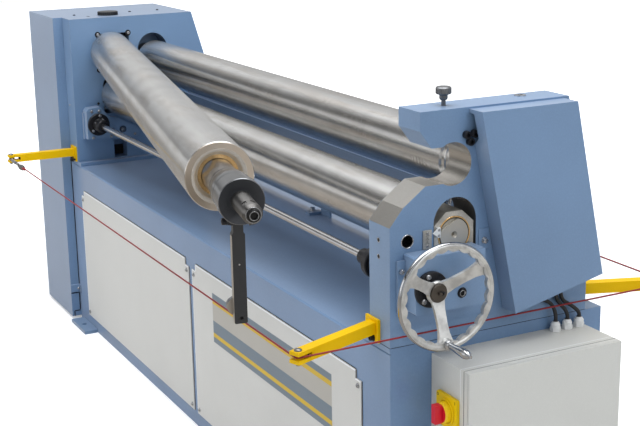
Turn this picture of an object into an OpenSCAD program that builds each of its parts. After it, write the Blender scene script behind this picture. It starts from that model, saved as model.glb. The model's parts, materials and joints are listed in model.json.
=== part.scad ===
// Motor-driven three-roll plate rolling machine with a swing-out top roll.
// Millimetres, +Z up, +X from the drive cover to the handwheel, front is -Y.
// Origin on the floor, midway between the side frames and mid-depth of the base.

/* [Overall sizes] */
// distance between the inner faces of the two side frames
work_w = 2100; // [1700:10:2520]
// depth of the base, front to rear
base_d = 565; // [520:5:680]
// floor to the top of the base between the frames
base_h = 597; // [500:1:716]
// thickness of the plates on which the side frames stand
foot_up = 12; // [8:1:16]
// how far those plates reach inwards past the frames
foot_in = 28; // [16:1:40]
// height of the left side frame with the cover's lid
frame_h = 505; // [495:1:591]
// thickness of each side frame
frame_t = 86; // [72:1:104]

/* [Floor feet] */
// length of each floor foot
foot_w = 160; // [134:1:176]
// depth of each floor foot
foot_l = 48; // [40:1:60]
// thickness of the floor feet
foot_t = 12; // [8:1:18]
// bore of the floor feet
foot_bore = 18; // [12:1:22]

/* [Rolls] */
// diameter of the swing-out top roll
top_roll_d = 146; // [122:1:148]
// diameter of the lower roll
lower_roll_d = 136; // [114:1:140]
// diameter of the rear roll
rear_roll_d = 134; // [112:1:138]
// height of the top roll's axis in its saddle above the frames' feet
top_roll_up = 384.2; // [382:0.1:392]
// distance of the top roll's axis behind the front face of the frames
top_roll_y = 154.4; // [150:0.1:160]
// height of the lower roll's axis above the frames' feet
lower_roll_up = 229.4; // [224:0.1:231]
// distance of the lower roll's axis behind the front face
lower_roll_y = 161; // [156:0.5:166]
// height of the rear roll's axis above the frames' feet
rear_roll_up = 347; // [341:0.5:351]
// distance of the rear roll's axis behind the front face
rear_roll_y = 300; // [298:0.5:310]
// angle by which the top roll is swung out to the front
swing_out = 12.6; // [10:0.1:15]
// diameter of the roll journals
journal_d = 70; // [58:1:78]
// free space from a barrel's end to the frame
barrel_gap = 15; // [8:0.5:18]
// bevel on the ends of the fixed barrels
barrel_bevel = 5; // [1:0.5:8]
// depth of the bowl in the top roll's free end
bowl_depth = 14; // [9:0.5:18]

/* [Bearings and saddle] */
// diameter of the sleeve on the top roll's free end
sleeve_d = 91; // [76:0.5:96]
// radial play of the sleeve in the saddle
saddle_play = 1.3; // [0.8:0.1:2]
// distance from the right frame's outer face to the sleeve's end
sleeve_out = 124; // [120:1:148]
// width of the lower bearing block
block_w = 99; // [84:1:104]
// play of the bearing block in its slot
slot_play = 4.1; // [2:0.1:6]
// diameter of the neck that passes the saddle's mouth
neck_d = 75; // [63:1:77]
// diameter of the stub shaft beyond the sleeve
stub_d = 39; // [33:1:44]
// length of the stub shaft
stub_l = 105; // [88:1:126]
// diameter of the lifting spindles
spindle_d = 24; // [20:1:29]
// diameter of the bush hole in the right frame's front
eye_d = 30.6; // [25.5:0.1:36]

/* [Lever] */
// distance from the roll's axis to the lever's lower end
lever_l = 257; // [214:1:308]
// width of the lever
lever_w = 26; // [22:1:31]
// thickness of the lever
lever_t = 19; // [16:1:23]
// width of the lever's neck
lever_neck = 20; // [16:1:22]
// diameter of the knob behind the lever
lever_knob_d = 34; // [28:1:40]

/* [Handwheel and cross shaft] */
// outside diameter of the handwheel
wheel_d = 232; // [194:1:240]
// thickness of the handwheel's rim
rim_d = 15; // [12:0.5:18]
// number of finger grips round the inside of the rim
grips = 24; // [18:3:30]
// depth of a finger grip
grip_depth = 5; // [3:0.5:6]
// thickness of a spoke
spoke_t = 8; // [6:0.5:10]
// width of a spoke half-way along
spoke_w = 23; // [19:1:28]
// distance of the cross shaft behind the front face
shaft_y = 68; // [60:0.5:76]
// height of the cross shaft above the frames' feet
shaft_up = 137; // [126:0.5:147]
// diameter of the cross shaft
shaft_d = 20; // [16:0.5:24]
// depth of the worm box on the right frame
worm_box_t = 50; // [42:1:58]
// depth of the worm bracket on the left frame
bracket_t = 44; // [37:1:52]
// diameter of the black flanges on the cross shaft
flange_d = 78; // [66:1:80]
// length of the crank handle
crank_l = 88; // [74:1:104]
// largest diameter of the crank handle
crank_d = 21; // [18:0.5:25]

/* [Drive cover] */
// width of the drive cover on the left
cover_w = 306; // [255:1:367]
// distance of the cover's front before the front face
cover_front = 34; // [20:1:40]
// clearance from the floor to the cover
cover_z = 10; // [5:1:20]
// diameter of the breather cap on the cover
cap_d = 72; // [60:1:80]
// ribs round the breather cap
cap_ribs = 28; // [20:1:34]

/* [Gear cover] */
// depth of the gear cover on the right frame
gear_cover_t = 50; // [42:1:60]
// sheet thickness of the gear cover
gear_sheet = 2.5; // [2:0.1:4]

/* [Electric box] */
// width of the electric box along the depth of the machine
box_w = 400; // [334:1:440]
// height of the electric box
box_h = 480; // [417:1:540]
// depth of the electric box with its door
box_t = 147; // [123:1:176]
// thickness of the door
door_t = 20; // [16:1:24]
// sheet thickness of the box
box_wall = 2; // [1.5:0.5:4]
// play between the door and the box
door_play = 0.5; // [0.3:0.1:2]
// distance from the top of the base down to the top of the box
box_drop = 16; // [8:1:20]
// distance of the box behind the front face
box_y = 104; // [90:1:120]
// diameter of a supply cable
cable_d = 9; // [7:0.5:11]
// diameter of a cable gland
gland_d = 22; // [19:1:26]

/* [Trip-wire arms] */
// distance of the arms' ends before the frames
arm_reach = 240; // [200:1:290]
// angle by which the left arms splay outwards
splay_left = 2; // [0:0.5:10]
// angle by which the right arms splay outwards
splay_right = 20.5; // [20:0.5:24]
// width of the arm's square tube
arm_w = 26; // [22:1:31]
// diameter of the wire
wire_d = 4; // [3:0.5:5]
// diameter of the pins in the forks
pin_d = 10; // [8:0.5:12]
// length of the wire's tensioner
tension_l = 128; // [107:1:153]

/* [Front panels] */
// thickness of the front panels
panel_t = 3; // [2:0.5:4]
// width of the notch in a panel's upper corner
notch_w = 25; // [20:1:30]
// height of the notch
notch_h = 20; // [16:1:24]

/* [Rear beam] */
// distance of the rear beam's wall before the base's rear face
beam_in = 137; // [120:1:140]
// gap between the beam and the base
beam_gap = 15; // [10:1:20]
// height of the beam's wall
beam_h = 268; // [223:1:280]
// sheet thickness of the beam
beam_t = 4; // [3:0.5:6]

/* [Clamp screw] */
// diameter of the clamp screw's knurled head
clamp_d = 34; // [30:1:40]
// diameter of its stem
clamp_stem = 9.5; // [8:0.5:11]

/* [Hidden] */
$fn = 64;
e = 0.01;
seat = 0.3;
L = work_w;
foot_z = base_h + foot_up;
frame_top = foot_z + frame_h;
frame_out = L + frame_t;
top_roll_z = foot_z + top_roll_up;
lower_roll_z = foot_z + lower_roll_up;
rear_roll_z = foot_z + rear_roll_up;
shaft_z = foot_z + shaft_up;
box_z = base_h - box_drop - box_h;
swing_x = -frame_t / 2 - 10;
saddle_r = sleeve_d / 2 + saddle_play;
rear_top_y = base_d - 111;
rear_foot_y = base_d - 46;
beam_y = base_d - beam_in;
rear_knee_z = foot_z + 277;
bush_d = neck_d + 12;
bush_t = 14;
rear_block_d = journal_d + 26;
barrel_end = L - barrel_gap;
stub_x = frame_out + sleeve_out + stub_l;
lid_t = 2;
hub_x = frame_out + worm_box_t + 16;
rim_x = frame_out + 113;
rim_r = wheel_d / 2 - rim_d / 2;
door_x = frame_out + box_t;
gland_x = frame_out + 20;
gland_y = [box_y + 316, box_y + 349, box_y + 382];
arm_z = foot_z + 19 + arm_w / 2;
bend_r = pin_d / 2 + wire_d / 2 + 0.2;
arm_x = [-35, L + 18];
tip_dy = arm_reach - 14;
wire_x = [arm_x[0] - tip_dy * tan(splay_left), arm_x[1] + tip_dy * tan(splay_right)];
wire_y = [-tip_dy, rear_foot_y + tip_dy];
// centre lines of the supply cables above their glands
cable_route = [
  [[20, 420, 604], [20, 420, 616], [16, 418, 632], [11, 411, 645], [10, 396, 654],
   [10, 378, 656], [11, 362, 657], [9, 350, 659], [4, 345, 660], [0, 345, 660]],
  [[20, 453, 604], [20, 453, 612], [17, 448, 626], [11, 438, 640], [9, 429, 654],
   [10, 424, 675], [12, 423, 706], [9, 423, 718], [4, 423, 722], [0, 423, 722]],
  [[20, 486, 604], [20, 486, 611], [18, 480, 621], [12, 466, 633], [9, 450, 644],
   [9, 442, 658], [10, 439, 680], [12, 439, 724], [9, 439, 736], [4, 439, 740],
   [0, 439, 740]]];

// everything is drawn from the front face of the left frame's inner corner
module place() {
  translate([-L / 2, -base_d / 2, 0]) children();
}

// cylinder along X from x0 to x1 about (y, z)
module xcyl(x0, x1, y, z, d, n = 64) {
  translate([x0, y, z]) rotate([0, 90, 0]) cylinder(h = x1 - x0, d = d, $fn = n);
}

// body turned about an axis along X through (y, z); points are [x, radius]
module xturn(y, z, points, n = 64) {
  translate([0, y, z]) rotate([0, 90, 0]) rotate_extrude($fn = n)
    polygon([for (p = points) [p[1], p[0]]]);
}

// plate from x0 to x1 with a (y, z) outline
module xplate(x0, x1) {
  translate([x0, 0, 0]) rotate([90, 0, 90]) linear_extrude(x1 - x0) children();
}

// box from corner a to corner b
module bx(a, b) {
  translate(a) cube(b - a);
}

// rectangle in (y, z) with bevelled corners
module bevelled(y0, z0, y1, z1, c) {
  polygon([[y0 + c, z0], [y1 - c, z0], [y1, z0 + c], [y1, z1 - c], [y1 - c, z1],
    [y0 + c, z1], [y0, z1 - c], [y0, z0 + c]]);
}

// the swung-out place of what is drawn along X at its closed place
module swung() {
  translate([swing_x, top_roll_y, 0]) rotate([0, 0, -swing_out])
    translate([-swing_x, -top_roll_y, 0]) children();
}

// ---------------------------------------------------------------- base
module base_body() {
  color("#6e8caf") place() {
    xplate(-frame_t, frame_out)
      polygon([[0, 0], [0, base_h - 4], [4, base_h], [base_d, base_h], [base_d, 0]]);
    for (x = [[-frame_t, foot_in], [L - foot_in, frame_out]])
      bx([x[0], 0, base_h - e], [x[1], base_d, foot_z]);
  }
}

// cover plate in front of the base with notched upper corners
module front_panel(x0, x1) {
  z0 = 46;
  z1 = base_h - 84;
  translate([0, -seat, 0]) rotate([90, 0, 0]) linear_extrude(panel_t)
    polygon([[x0, z0], [x1, z0], [x1, z1 - notch_h], [x1 - notch_w, z1 - notch_h],
      [x1 - notch_w, z1], [x0 + notch_w, z1], [x0 + notch_w, z1 - notch_h],
      [x0, z1 - notch_h]]);
}

module front_panel_left() {
  color("#c8c8c6") place() front_panel(26, L / 2 - 12);
}

module front_panel_right() {
  color("#c8c8c6") place() front_panel(L / 2 + 16, L - 38);
}

module foot(x, y) {
  translate([x, y, 0]) difference() {
    translate([-foot_w / 2, -foot_l / 2, 0]) cube([foot_w, foot_l, foot_t]);
    translate([0, 0, -1]) cylinder(h = foot_t + 2, d = foot_bore);
  }
}

module floor_feet() {
  color("#6e8caf") place()
    for (x = [26, L - 26])
      for (y = [-foot_l / 2 - seat, base_d + foot_l / 2 + seat])
        foot(x, y);
}

// ---------------------------------------------------------------- frames
// upright slot through a plate, round at the top, from z0 to z1
module slot(x0, x1, y, z0, z1, d) {
  xcyl(x0, x1, y, z1, d);
  bx([x0, y - d / 2, z0], [x1, y + d / 2, z1]);
}

// slots for the lower and the rear roll's bearings
module roll_slots(x0, x1) {
  slot(x0, x1, lower_roll_y, lower_roll_z - 66, lower_roll_z + 29, block_w + 2 * slot_play);
  slot(x0, x1, rear_roll_y, rear_roll_z - 84, rear_roll_z + 38, rear_block_d + 14);
  // bores in which the lifting spindles slide
  translate([(x0 + x1) / 2, lower_roll_y, lower_roll_z - 128])
    cylinder(h = 70, d = spindle_d + 2 * seat);
  translate([(x0 + x1) / 2, rear_roll_y, rear_roll_z - 152])
    cylinder(h = 80, d = spindle_d + 2 * seat);
  xcyl(x0, x1, shaft_y, shaft_z, shaft_d + 1.4);
}

module left_side_frame() {
  hole_y = 59;
  hole_z = 64;
  top = frame_top - lid_t - seat;
  color("#6e8caf") place() difference() {
    xplate(-frame_t, 0)
      polygon([[0, foot_z + seat], [0, top], [rear_top_y, top],
        [rear_foot_y, rear_knee_z], [rear_foot_y, foot_z + seat]]);
    bx([-frame_t - 1, top_roll_y - hole_y, top_roll_z - hole_z],
      [1, top_roll_y + hole_y, top_roll_z + hole_z]);
    for (i = [-1, 1])
      for (k = [-1, 1])
        xcyl(-frame_t - 1, 1, top_roll_y + i * (hole_y - 3), top_roll_z + k * (hole_z - 2), 16);
    roll_slots(-frame_t - 1, 1);
    // window below the worm bracket
    bx([-50, 136, foot_z + seat + 2], [1, 185, foot_z + 69]);
  }
}

// open pocket of the saddle with the bare cut faces in front of it
module saddle_outline() {
  polygon([[-1, 874 - 609], [0, 874 - 609], [32, 913 - 609], [87, 953 - 609],
    [128, 953 - 609], [top_roll_y, top_roll_up - saddle_r + 4], [top_roll_y + 10, top_roll_up],
    [top_roll_y, top_roll_up + 38.8], [102, top_roll_up + 38.8], [73.5, top_roll_up + 77],
    [73.5, frame_h + 1], [-1, frame_h + 1]]);
}

module right_side_frame() {
  top = frame_top - 3;
  color("#6e8caf") place() difference() {
    xplate(L, frame_out)
      polygon([[0, foot_z + seat], [0, top], [rear_top_y, top],
        [rear_foot_y, rear_knee_z], [rear_foot_y, foot_z + seat]]);
    translate([0, 0, foot_z]) xplate(L - 1, frame_out + 1) saddle_outline();
    xcyl(L - 1, frame_out + 1, 43, shaft_z + 93.7, eye_d);
    xcyl(L - 1, frame_out + 1, top_roll_y, top_roll_z, 2 * saddle_r);
    roll_slots(L - 1, frame_out + 1);
    translate([L + 42, top_roll_y + 4, top - 40]) cylinder(h = 60, d = clamp_stem + 1);
  }
}

// ---------------------------------------------------------------- covers
module drive_cover() {
  left = -frame_t - seat - cover_w;
  color("#6e8caf") place() difference() {
    union() {
      xplate(left, -frame_t - seat)
        polygon([[-cover_front, cover_z], [-cover_front, frame_top],
          [rear_top_y, frame_top], [rear_foot_y + 10, rear_knee_z],
          [base_d, foot_z], [base_d, cover_z]]);
      // lid over the left frame
      bx([-frame_t - 1, 0, frame_top - lid_t], [0, rear_top_y, frame_top]);
    }
    xcyl(-frame_t - 60, 0, top_roll_y, top_roll_z, 122);
  }
}

module cover_knob() {
  color("#26272a") place() translate([-79, 166, frame_top + seat]) {
    cylinder(h = 10, d = cap_d - 5);
    translate([0, 0, 9]) cylinder(h = 3, d = cap_d - 2);
    for (i = [0 : cap_ribs - 1])
      rotate([0, 0, 360 * i / cap_ribs]) translate([cap_d / 2 - 5, -1.3, 0]) cube([5, 2.6, 11]);
  }
}

// folded sheet cover, open below, with a notch in its front wall
module gear_cover() {
  x0 = frame_out + seat;
  x1 = frame_out + gear_cover_t;
  t = gear_sheet;
  top = frame_top - 7;
  color("#6e8caf") place() difference() {
    xplate(x0, x1) polygon([[193.5, top], [rear_top_y - 14, top],
      [rear_foot_y + 6, foot_z + 98], [288, foot_z + 44]]);
    xplate(x0 - 1, x1 - t) polygon([[193.5 + t, top - t], [rear_top_y - 14 - t, top - t],
      [rear_top_y + 84 - t, top - t - 460], [289 + t, top - t - 460]]);
    translate([0, 232, 0]) rotate([90, 0, 0]) linear_extrude(50)
      polygon([[x0 - 1, top - 8], [x0 + 16, top - 10], [x0 + 18, top - 62], [x0 - 1, top - 78]]);
  }
}

module worm_box() {
  x0 = frame_out + seat;
  color("#6e8caf") place() difference() {
    union() {
      xplate(x0, frame_out + worm_box_t)
        bevelled(33, shaft_z - 54, 206, shaft_z + 70, 3);
      bx([x0, 15, shaft_z - 62], [x0 + 8, 40, shaft_z + 56]);
    }
    xcyl(x0 - 1, frame_out + worm_box_t + 1, shaft_y, shaft_z, shaft_d + 2);
  }
}

module left_worm_box() {
  color("#6e8caf") place() difference() {
    union() {
      xplate(seat, bracket_t) polygon([[28, shaft_z - 51], [28, shaft_z + 47], [36, shaft_z + 57],
        [78, shaft_z + 61], [106, shaft_z + 29], [120, shaft_z + 8], [120, shaft_z - 51]]);
      xplate(seat, 16) polygon([[24, shaft_z - 54], [24, shaft_z + 40], [148, shaft_z + 13],
        [218, shaft_z - 26], [229, shaft_z - 38], [229, shaft_z - 52], [217, shaft_z - 62],
        [140, shaft_z - 62]]);
    }
    xcyl(-1, bracket_t + 1, shaft_y, shaft_z, shaft_d + 2);
    xcyl(4, 17, 167, shaft_z - 32, 21);
  }
}

// stepped black flange on the cross shaft; steps are [x, radius]
module shaft_flange(steps) {
  difference() {
    xturn(shaft_y, shaft_z, steps);
    xcyl(steps[0][0] - 1, steps[len(steps) - 1][0] + 1, shaft_y, shaft_z, shaft_d + 1.2);
  }
}

module left_shaft_flange() {
  x = bracket_t + seat;
  r = flange_d / 2;
  color("#26272a") place() shaft_flange([[x, 0], [x, r], [x + 8, r], [x + 10, r - 2],
    [x + 10, 23], [x + 57, 23], [x + 60, 20], [x + 60, 0]]);
}

module right_shaft_flange() {
  x = L - seat;
  r = flange_d / 2;
  color("#26272a") place() shaft_flange([[x - 148, 0], [x - 148, 16.5], [x - 146, 18.5],
    [x - 97, 18.5], [x - 97, r - 4], [x - 95, r - 2], [x - 79, r - 2], [x - 77, r - 4],
    [x - 77, r - 11], [x, r - 11], [x, 0]]);
}

module worm_flange() {
  x = frame_out + worm_box_t + seat;
  r = flange_d / 2;
  color("#26272a") place()
    shaft_flange([[x, 0], [x, r], [x + 7, r], [x + 8.7, r - 2], [x + 8.7, 0]]);
}

// ---------------------------------------------------------------- cross shaft
module cross_shaft() {
  color("#d8d8da") place() xcyl(20, hub_x + 4, shaft_y, shaft_z, shaft_d);
}

// radius of the rim's inner edge at angle a
function grip_r(a) = let(u = a * grips / 360 - floor(a * grips / 360) - 0.5)
  rim_r - rim_d / 2 + 1 - grip_depth * (1 - 4 * u * u);

// spoke outline along its length: [half width, radius]
spoke_w2 = spoke_w / 2;
spoke_side = [[17, 0], [16, 14], [spoke_w2 + 1, 34], [spoke_w2, 60], [spoke_w2 + 1, 80],
  [spoke_w2 + 4, 92], [spoke_w2 + 9, rim_r - 2]];

module spoke() {
  intersection() {
    rotate([90, 0, 0]) linear_extrude(60, center = true)
      polygon([[hub_x + 6, 12], [hub_x + 6 + spoke_t, 12], [rim_x + spoke_t / 2, rim_r - 2],
        [rim_x - spoke_t / 2, rim_r - 2]]);
    rotate([90, 0, 90]) linear_extrude(rim_x + 20)
      polygon(concat([for (p = spoke_side) [p[0], p[1]]],
        [for (i = [len(spoke_side) - 1 : -1 : 0]) [-spoke_side[i][0], spoke_side[i][1]]]));
  }
}

// three-spoke handwheel with finger grips round the inside of its rim
module handwheel() {
  color("#dcdcdc") place() translate([0, shaft_y, shaft_z]) {
    translate([rim_x, 0, 0]) rotate([0, 90, 0])
      rotate_extrude($fn = 96) translate([rim_r, 0]) circle(d = rim_d, $fn = 24);
    difference() {
      xcyl(rim_x - 5.5, rim_x + 5.5, 0, 0, 2 * rim_r, 96);
      translate([rim_x - 10, 0, 0]) rotate([90, 0, 90]) linear_extrude(20)
        polygon([for (i = [0 : grips * 6 - 1]) let(a = 360 * i / (grips * 6))
          [grip_r(a) * cos(a), grip_r(a) * sin(a)]]);
    }
    difference() {
      union() {
        xturn(0, 0, [[hub_x, 0], [hub_x, 17], [hub_x + 3, 20], [hub_x + 15, 20],
          [hub_x + 20, 19], [hub_x + 21, 18], [hub_x + 21, 0]]);
        xturn(0, 0, [[hub_x + 5, 0], [hub_x + 5, 22], [hub_x + 8, 25], [hub_x + 13, 25],
          [hub_x + 16, 23], [hub_x + 16, 0]]);
        xcyl(hub_x + 20, hub_x + 27, 0, 0, 7);
      }
      xcyl(hub_x - 1, hub_x + 5, 0, 0, shaft_d + 2 * seat);
    }
    for (a = [0, 120, 240])
      rotate([a + 180, 0, 0]) spoke();
    // boss that carries the crank handle
    xcyl(rim_x - 5, rim_x + rim_d / 2 + seat, 0, -wheel_d / 2 + rim_d, 24);
  }
}

// turned crank handle on its collar
module crank_handle() {
  x = rim_x + rim_d / 2 + 2 * seat;
  r = crank_d / 2;
  c = crank_l - 7;
  color("#dcdcdc") place() xturn(shaft_y, shaft_z - wheel_d / 2 + rim_d, [[x, 0], [x, 10],
    [x + 2, 11], [x + 5, 11], [x + 6, 9], [x + 8, 6.5], [x + c * 0.2, 6.8], [x + c * 0.35, 7.8],
    [x + c * 0.5, 9], [x + c * 0.62, r - 0.6], [x + c * 0.72, r], [x + c * 0.8, r - 0.4],
    [x + c * 0.88, r - 2], [x + c * 0.94, r - 4.2], [x + c * 0.98, r - 7], [x + c, 0]], 48);
}

// ---------------------------------------------------------------- lower roll
module lower_block(x0, x1) {
  translate([(x0 + x1) / 2, lower_roll_y, lower_roll_z - 112]) cylinder(h = 64, d = spindle_d);
  difference() {
    xplate(x0, x1) translate([lower_roll_y, lower_roll_z])
      polygon([[-block_w / 2, -50], [-block_w / 2, 24], [-20, 51], [20, 51],
        [block_w / 2, 24], [block_w / 2, -50]]);
    xcyl(x0 - 1, x1 + 1, lower_roll_y, lower_roll_z, journal_d + 2 * seat);
  }
}

module lower_bearing_left() {
  color("#8d8f92") place() lower_block(-frame_t + 4, -4);
}

module lower_bearing_right() {
  color("#8d8f92") place() lower_block(L + 4, frame_out - 4);
}

// barrel with bevelled ends
module barrel(x0, x1, y, z, d) {
  xturn(y, z, [[x0, 0], [x0, d / 2 - barrel_bevel], [x0 + barrel_bevel, d / 2],
    [x1 - barrel_bevel, d / 2], [x1, d / 2 - barrel_bevel], [x1, 0]]);
}

module lower_roll() {
  color("#b9bbbd") place() {
    barrel(barrel_gap, barrel_end, lower_roll_y, lower_roll_z, lower_roll_d);
    difference() {
      xcyl(-frame_t + 6, frame_out - 2, lower_roll_y, lower_roll_z, journal_d);
      // flat on the journal's end and its centre hole
      translate([frame_out - 8, lower_roll_y, lower_roll_z]) rotate([28, 0, 0])
        bx([0, -50, journal_d / 2 - 9], [20, 50, 60]);
      xturn(lower_roll_y, lower_roll_z, [[frame_out - 14, 0], [frame_out - 14, 3],
        [frame_out - 8, 4], [frame_out - 1, 8], [frame_out - 1, 0]], 24);
    }
  }
}

// ---------------------------------------------------------------- rear roll
module rear_block(x0, x1) {
  r = rear_block_d / 2;
  translate([(x0 + x1) / 2, rear_roll_y, rear_roll_z - 114])
    cylinder(h = 114 - r + 4, d = spindle_d);
  difference() {
    xcyl(x0, x1, rear_roll_y, rear_roll_z, rear_block_d);
    xcyl(x0 - 1, x1 + 1, rear_roll_y, rear_roll_z, journal_d + 2 * seat);
  }
}

module rear_bearing_left() {
  color("#3a3c40") place() rear_block(-frame_t + 4, -4);
}

module rear_bearing_right() {
  color("#3a3c40") place() rear_block(L + 4, frame_out - 4);
}

module rear_roll() {
  r = rear_roll_d / 2;
  color("#b9bbbd") place() {
    // the barrel ends in a grooved collar by the right frame
    barrel(barrel_gap, L - 88, rear_roll_y, rear_roll_z, rear_roll_d);
    xturn(rear_roll_y, rear_roll_z, [[L - 90, 0], [L - 90, r - 5], [L - 85, r - 5], [L - 83, r - 1],
      [L - 81, r], [L - 73, r], [L - 71, r - 1], [L - 69, r - 4], [L - 66, r - 4], [L - 64, r - 1],
      [L - 40, r - 1], [L - 36, r - 5], [barrel_end, r - 5], [barrel_end, 0]]);
    xcyl(-frame_t + 6, frame_out - 6, rear_roll_y, rear_roll_z, journal_d);
  }
}

// ---------------------------------------------------------------- top roll
module swivel_block() {
  color("#3a3c40") place() swung() difference() {
    union() {
      translate([swing_x, top_roll_y, top_roll_z - 50]) cylinder(h = 100, d = 92);
      translate([swing_x, top_roll_y, top_roll_z - 64 + seat])
        cylinder(h = 128 - 2 * seat, d = 50);
    }
    xcyl(swing_x - 60, swing_x + 60, top_roll_y, top_roll_z, 60.6);
  }
}

// barrel with a polished bowl in its free end, in which the bush sits
module top_roll() {
  r = top_roll_d / 2;
  b = bush_d / 2 + 0.1;
  x1 = barrel_end;
  d = bowl_depth;
  color("#b9bbbd") place() swung() {
    xturn(top_roll_y, top_roll_z, [[23, 0], [23, r - 12], [35, r], [x1 - 2, r], [x1, r - 2],
      [x1, b + d + 1], [x1 - d * 0.38, b + d * 0.62 + 1], [x1 - d * 0.71, b + d * 0.29 + 1],
      [x1 - d * 0.92, b + 1.3], [x1 - d, b], [x1 - d - bush_t - 8, b], [x1 - d - bush_t - 8, 0]]);
    xcyl(swing_x - 22, 24, top_roll_y, top_roll_z, 60);
    difference() {
      xturn(top_roll_y, top_roll_z, [[x1 - d - bush_t - 9, 0], [x1 - d - bush_t - 9, stub_d / 2],
        [stub_x - 9, stub_d / 2], [stub_x, stub_d / 2 - 4], [stub_x, 0]]);
      // two milled pockets in the stub
      for (a = [-18, 32])
        translate([stub_x - 38, top_roll_y, top_roll_z])
          rotate([a, 0, 0]) bx([0, -4.5, stub_d / 2 - 2], [16, 4.5, stub_d]);
    }
  }
}

module brass_bush() {
  x1 = barrel_end - bowl_depth - 1;
  color("#c08a50") place() swung() difference() {
    xcyl(x1 - bush_t, x1, top_roll_y, top_roll_z, bush_d);
    xcyl(x1 - bush_t - 1, x1 + 1, top_roll_y, top_roll_z, neck_d - 4);
  }
}

// neck and sleeve that lie in the saddle, dished at the free end
module roll_sleeve() {
  x0 = barrel_end - bowl_depth - bush_t - 4;
  x1 = frame_out + sleeve_out;
  n = neck_d / 2;
  s = sleeve_d / 2;
  m = s - 2.8;
  color("#c4c6c8") place() swung() difference() {
    union() {
      xturn(top_roll_y, top_roll_z, [[x0, 0], [x0, n - 3], [frame_out + 8, n - 3],
        [frame_out + 8, m - 2.6], [frame_out + 15, m - 1.5], [frame_out + 36, m],
        [x1 - 70.8, m], [x1 - 70, m - 0.8], [x1 - 69.2, m], [x1 - 34, m], [x1 - 32, s - 0.8],
        [x1 - 31, s], [x1 - 1.5, s], [x1, s - 1.5], [x1 - 6, stub_d / 2 + 3], [x1 - 6, 0]]);
    }
    xcyl(x0 - 1, x1 + 1, top_roll_y, top_roll_z, stub_d + 2 * seat);
    // flat milled on the neck
    translate([barrel_end - bowl_depth, top_roll_y, top_roll_z]) rotate([50, 0, 0])
      bx([0, -40, n - 8], [60, 40, n + 10]);
  }
}

// lever that hangs from the sleeve, with its clamp lug and knob
module lever_bar() {
  x0 = frame_out + 60;
  s = sleeve_d / 2 - 2.8 + seat;
  color("#2d2d30") place() swung() translate([0, top_roll_y, top_roll_z]) difference() {
    union() {
      translate([x0, 0, 0]) rotate([90, 0, 90]) linear_extrude(lever_t)
        polygon([[-lever_w / 2, -lever_l + 2], [-lever_w / 2 + 2, -lever_l],
          [lever_w / 2 - 2, -lever_l], [lever_w / 2, -lever_l + 2], [lever_w / 2, -s - 33],
          [lever_neck / 2, -s - 28], [lever_neck / 2, -s - 12], [21, -s - 12], [21, -s],
          [-21, -s], [-21, -s - 12], [-lever_neck / 2, -s - 14], [-lever_neck / 2, -s - 28],
          [-lever_w / 2, -s - 33]]);
      xcyl(x0 - 13, x0 + 1, -7, -lever_l + 31, lever_knob_d);
    }
    xcyl(x0 - 20, x0 + lever_t + 1, 1, -lever_l + 11, 7.5);
  }
}

// knurled clamp screw in the hook of the right frame
module clamp_screw() {
  r = clamp_d / 2;
  q = clamp_stem / 2;
  color("#26272a") place() translate([L + 42, top_roll_y + 4, frame_top])
    rotate_extrude($fn = 48) polygon([[0, -36], [q - 1, -36], [q, -35], [q, 8.4], [q + 2.6, 9.4],
      [q + 4, 11.4], [q + 4.4, 15], [q + 4.4, 19], [q + 5.4, 20.5], [r - 2.5, 21.5], [r, 23.5],
      [r, 35], [r - 2.5, 37.6], [0, 37.6]]);
}

// ---------------------------------------------------------------- back
// tie beam behind the rolls: wall, trough and front lip on a middle post
module back_sheet() {
  z0 = base_h + beam_gap;
  lip_z = lower_roll_z - 0.4;
  y = beam_y;
  t = beam_t;
  color("#6e8caf") place() {
    xplate(seat, L - seat) polygon([[y - 44, lip_z - 44], [y, lip_z - 44], [y, z0],
      [y + t, z0], [y + t, z0 + beam_h], [y, z0 + beam_h], [y, lip_z - 44 + t],
      [y - 44 + t, lip_z - 44 + t], [y - 44 + t, lip_z], [y - 44, lip_z]]);
    bx([1060, y - 6, base_h + seat], [1115, y + 1, lip_z - 44 + 1]);
    bx([1035, y - 46, base_h + seat], [1062, y + 1, base_h + 9]);
  }
}

module pointer_scale() {
  color("#c8c8c8") place()
    bx([frame_out + seat, 80, lower_roll_z - 21], [frame_out + 3, 101, lower_roll_z + 20]);
}

// ---------------------------------------------------------------- electric box
module electric_box() {
  w = box_wall;
  color("#c3c4be") place() difference() {
    bx([frame_out + seat, box_y, box_z], [door_x - door_t - door_play, box_y + box_w, box_z + box_h]);
    bx([frame_out + seat + w, box_y + w, box_z + w],
      [door_x, box_y + box_w - w, box_z + box_h - w]);
  }
}

module box_door() {
  x0 = door_x - door_t;
  color("#c3c4be") place() difference() {
    bx([x0, box_y, box_z], [door_x, box_y + box_w, box_z + box_h]);
    // fold round the edge of the door
    bx([x0 + 13, box_y - 1, box_z + box_h - 1.6], [x0 + 14.5, box_y + box_w + 1, box_z + box_h + 1]);
    bx([x0 + 13, box_y - 1, box_z - 1], [x0 + 14.5, box_y + 1.6, box_z + box_h + 1]);
  }
}

module switch_plate() {
  z = box_z + box_h - 108;
  color("#f2c400") place() translate([0, box_y - seat, 0]) rotate([90, 0, 0]) linear_extrude(8)
    bevelled(frame_out + 33, z - 37, frame_out + 111, z + 37, 3);
}

module switch_knob() {
  z = box_z + box_h - 108;
  color("#c8102e") place() translate([frame_out + 72, box_y - 8 - 2 * seat, z]) {
    rotate([90, 0, 0]) cylinder(h = 12, d = 48);
    rotate([90, 0, 0]) translate([0, 0, 11]) cylinder(h = 4, d1 = 48, d2 = 41);
    bx([-8, -32, -21], [8, -10, 21]);
  }
}

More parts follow.
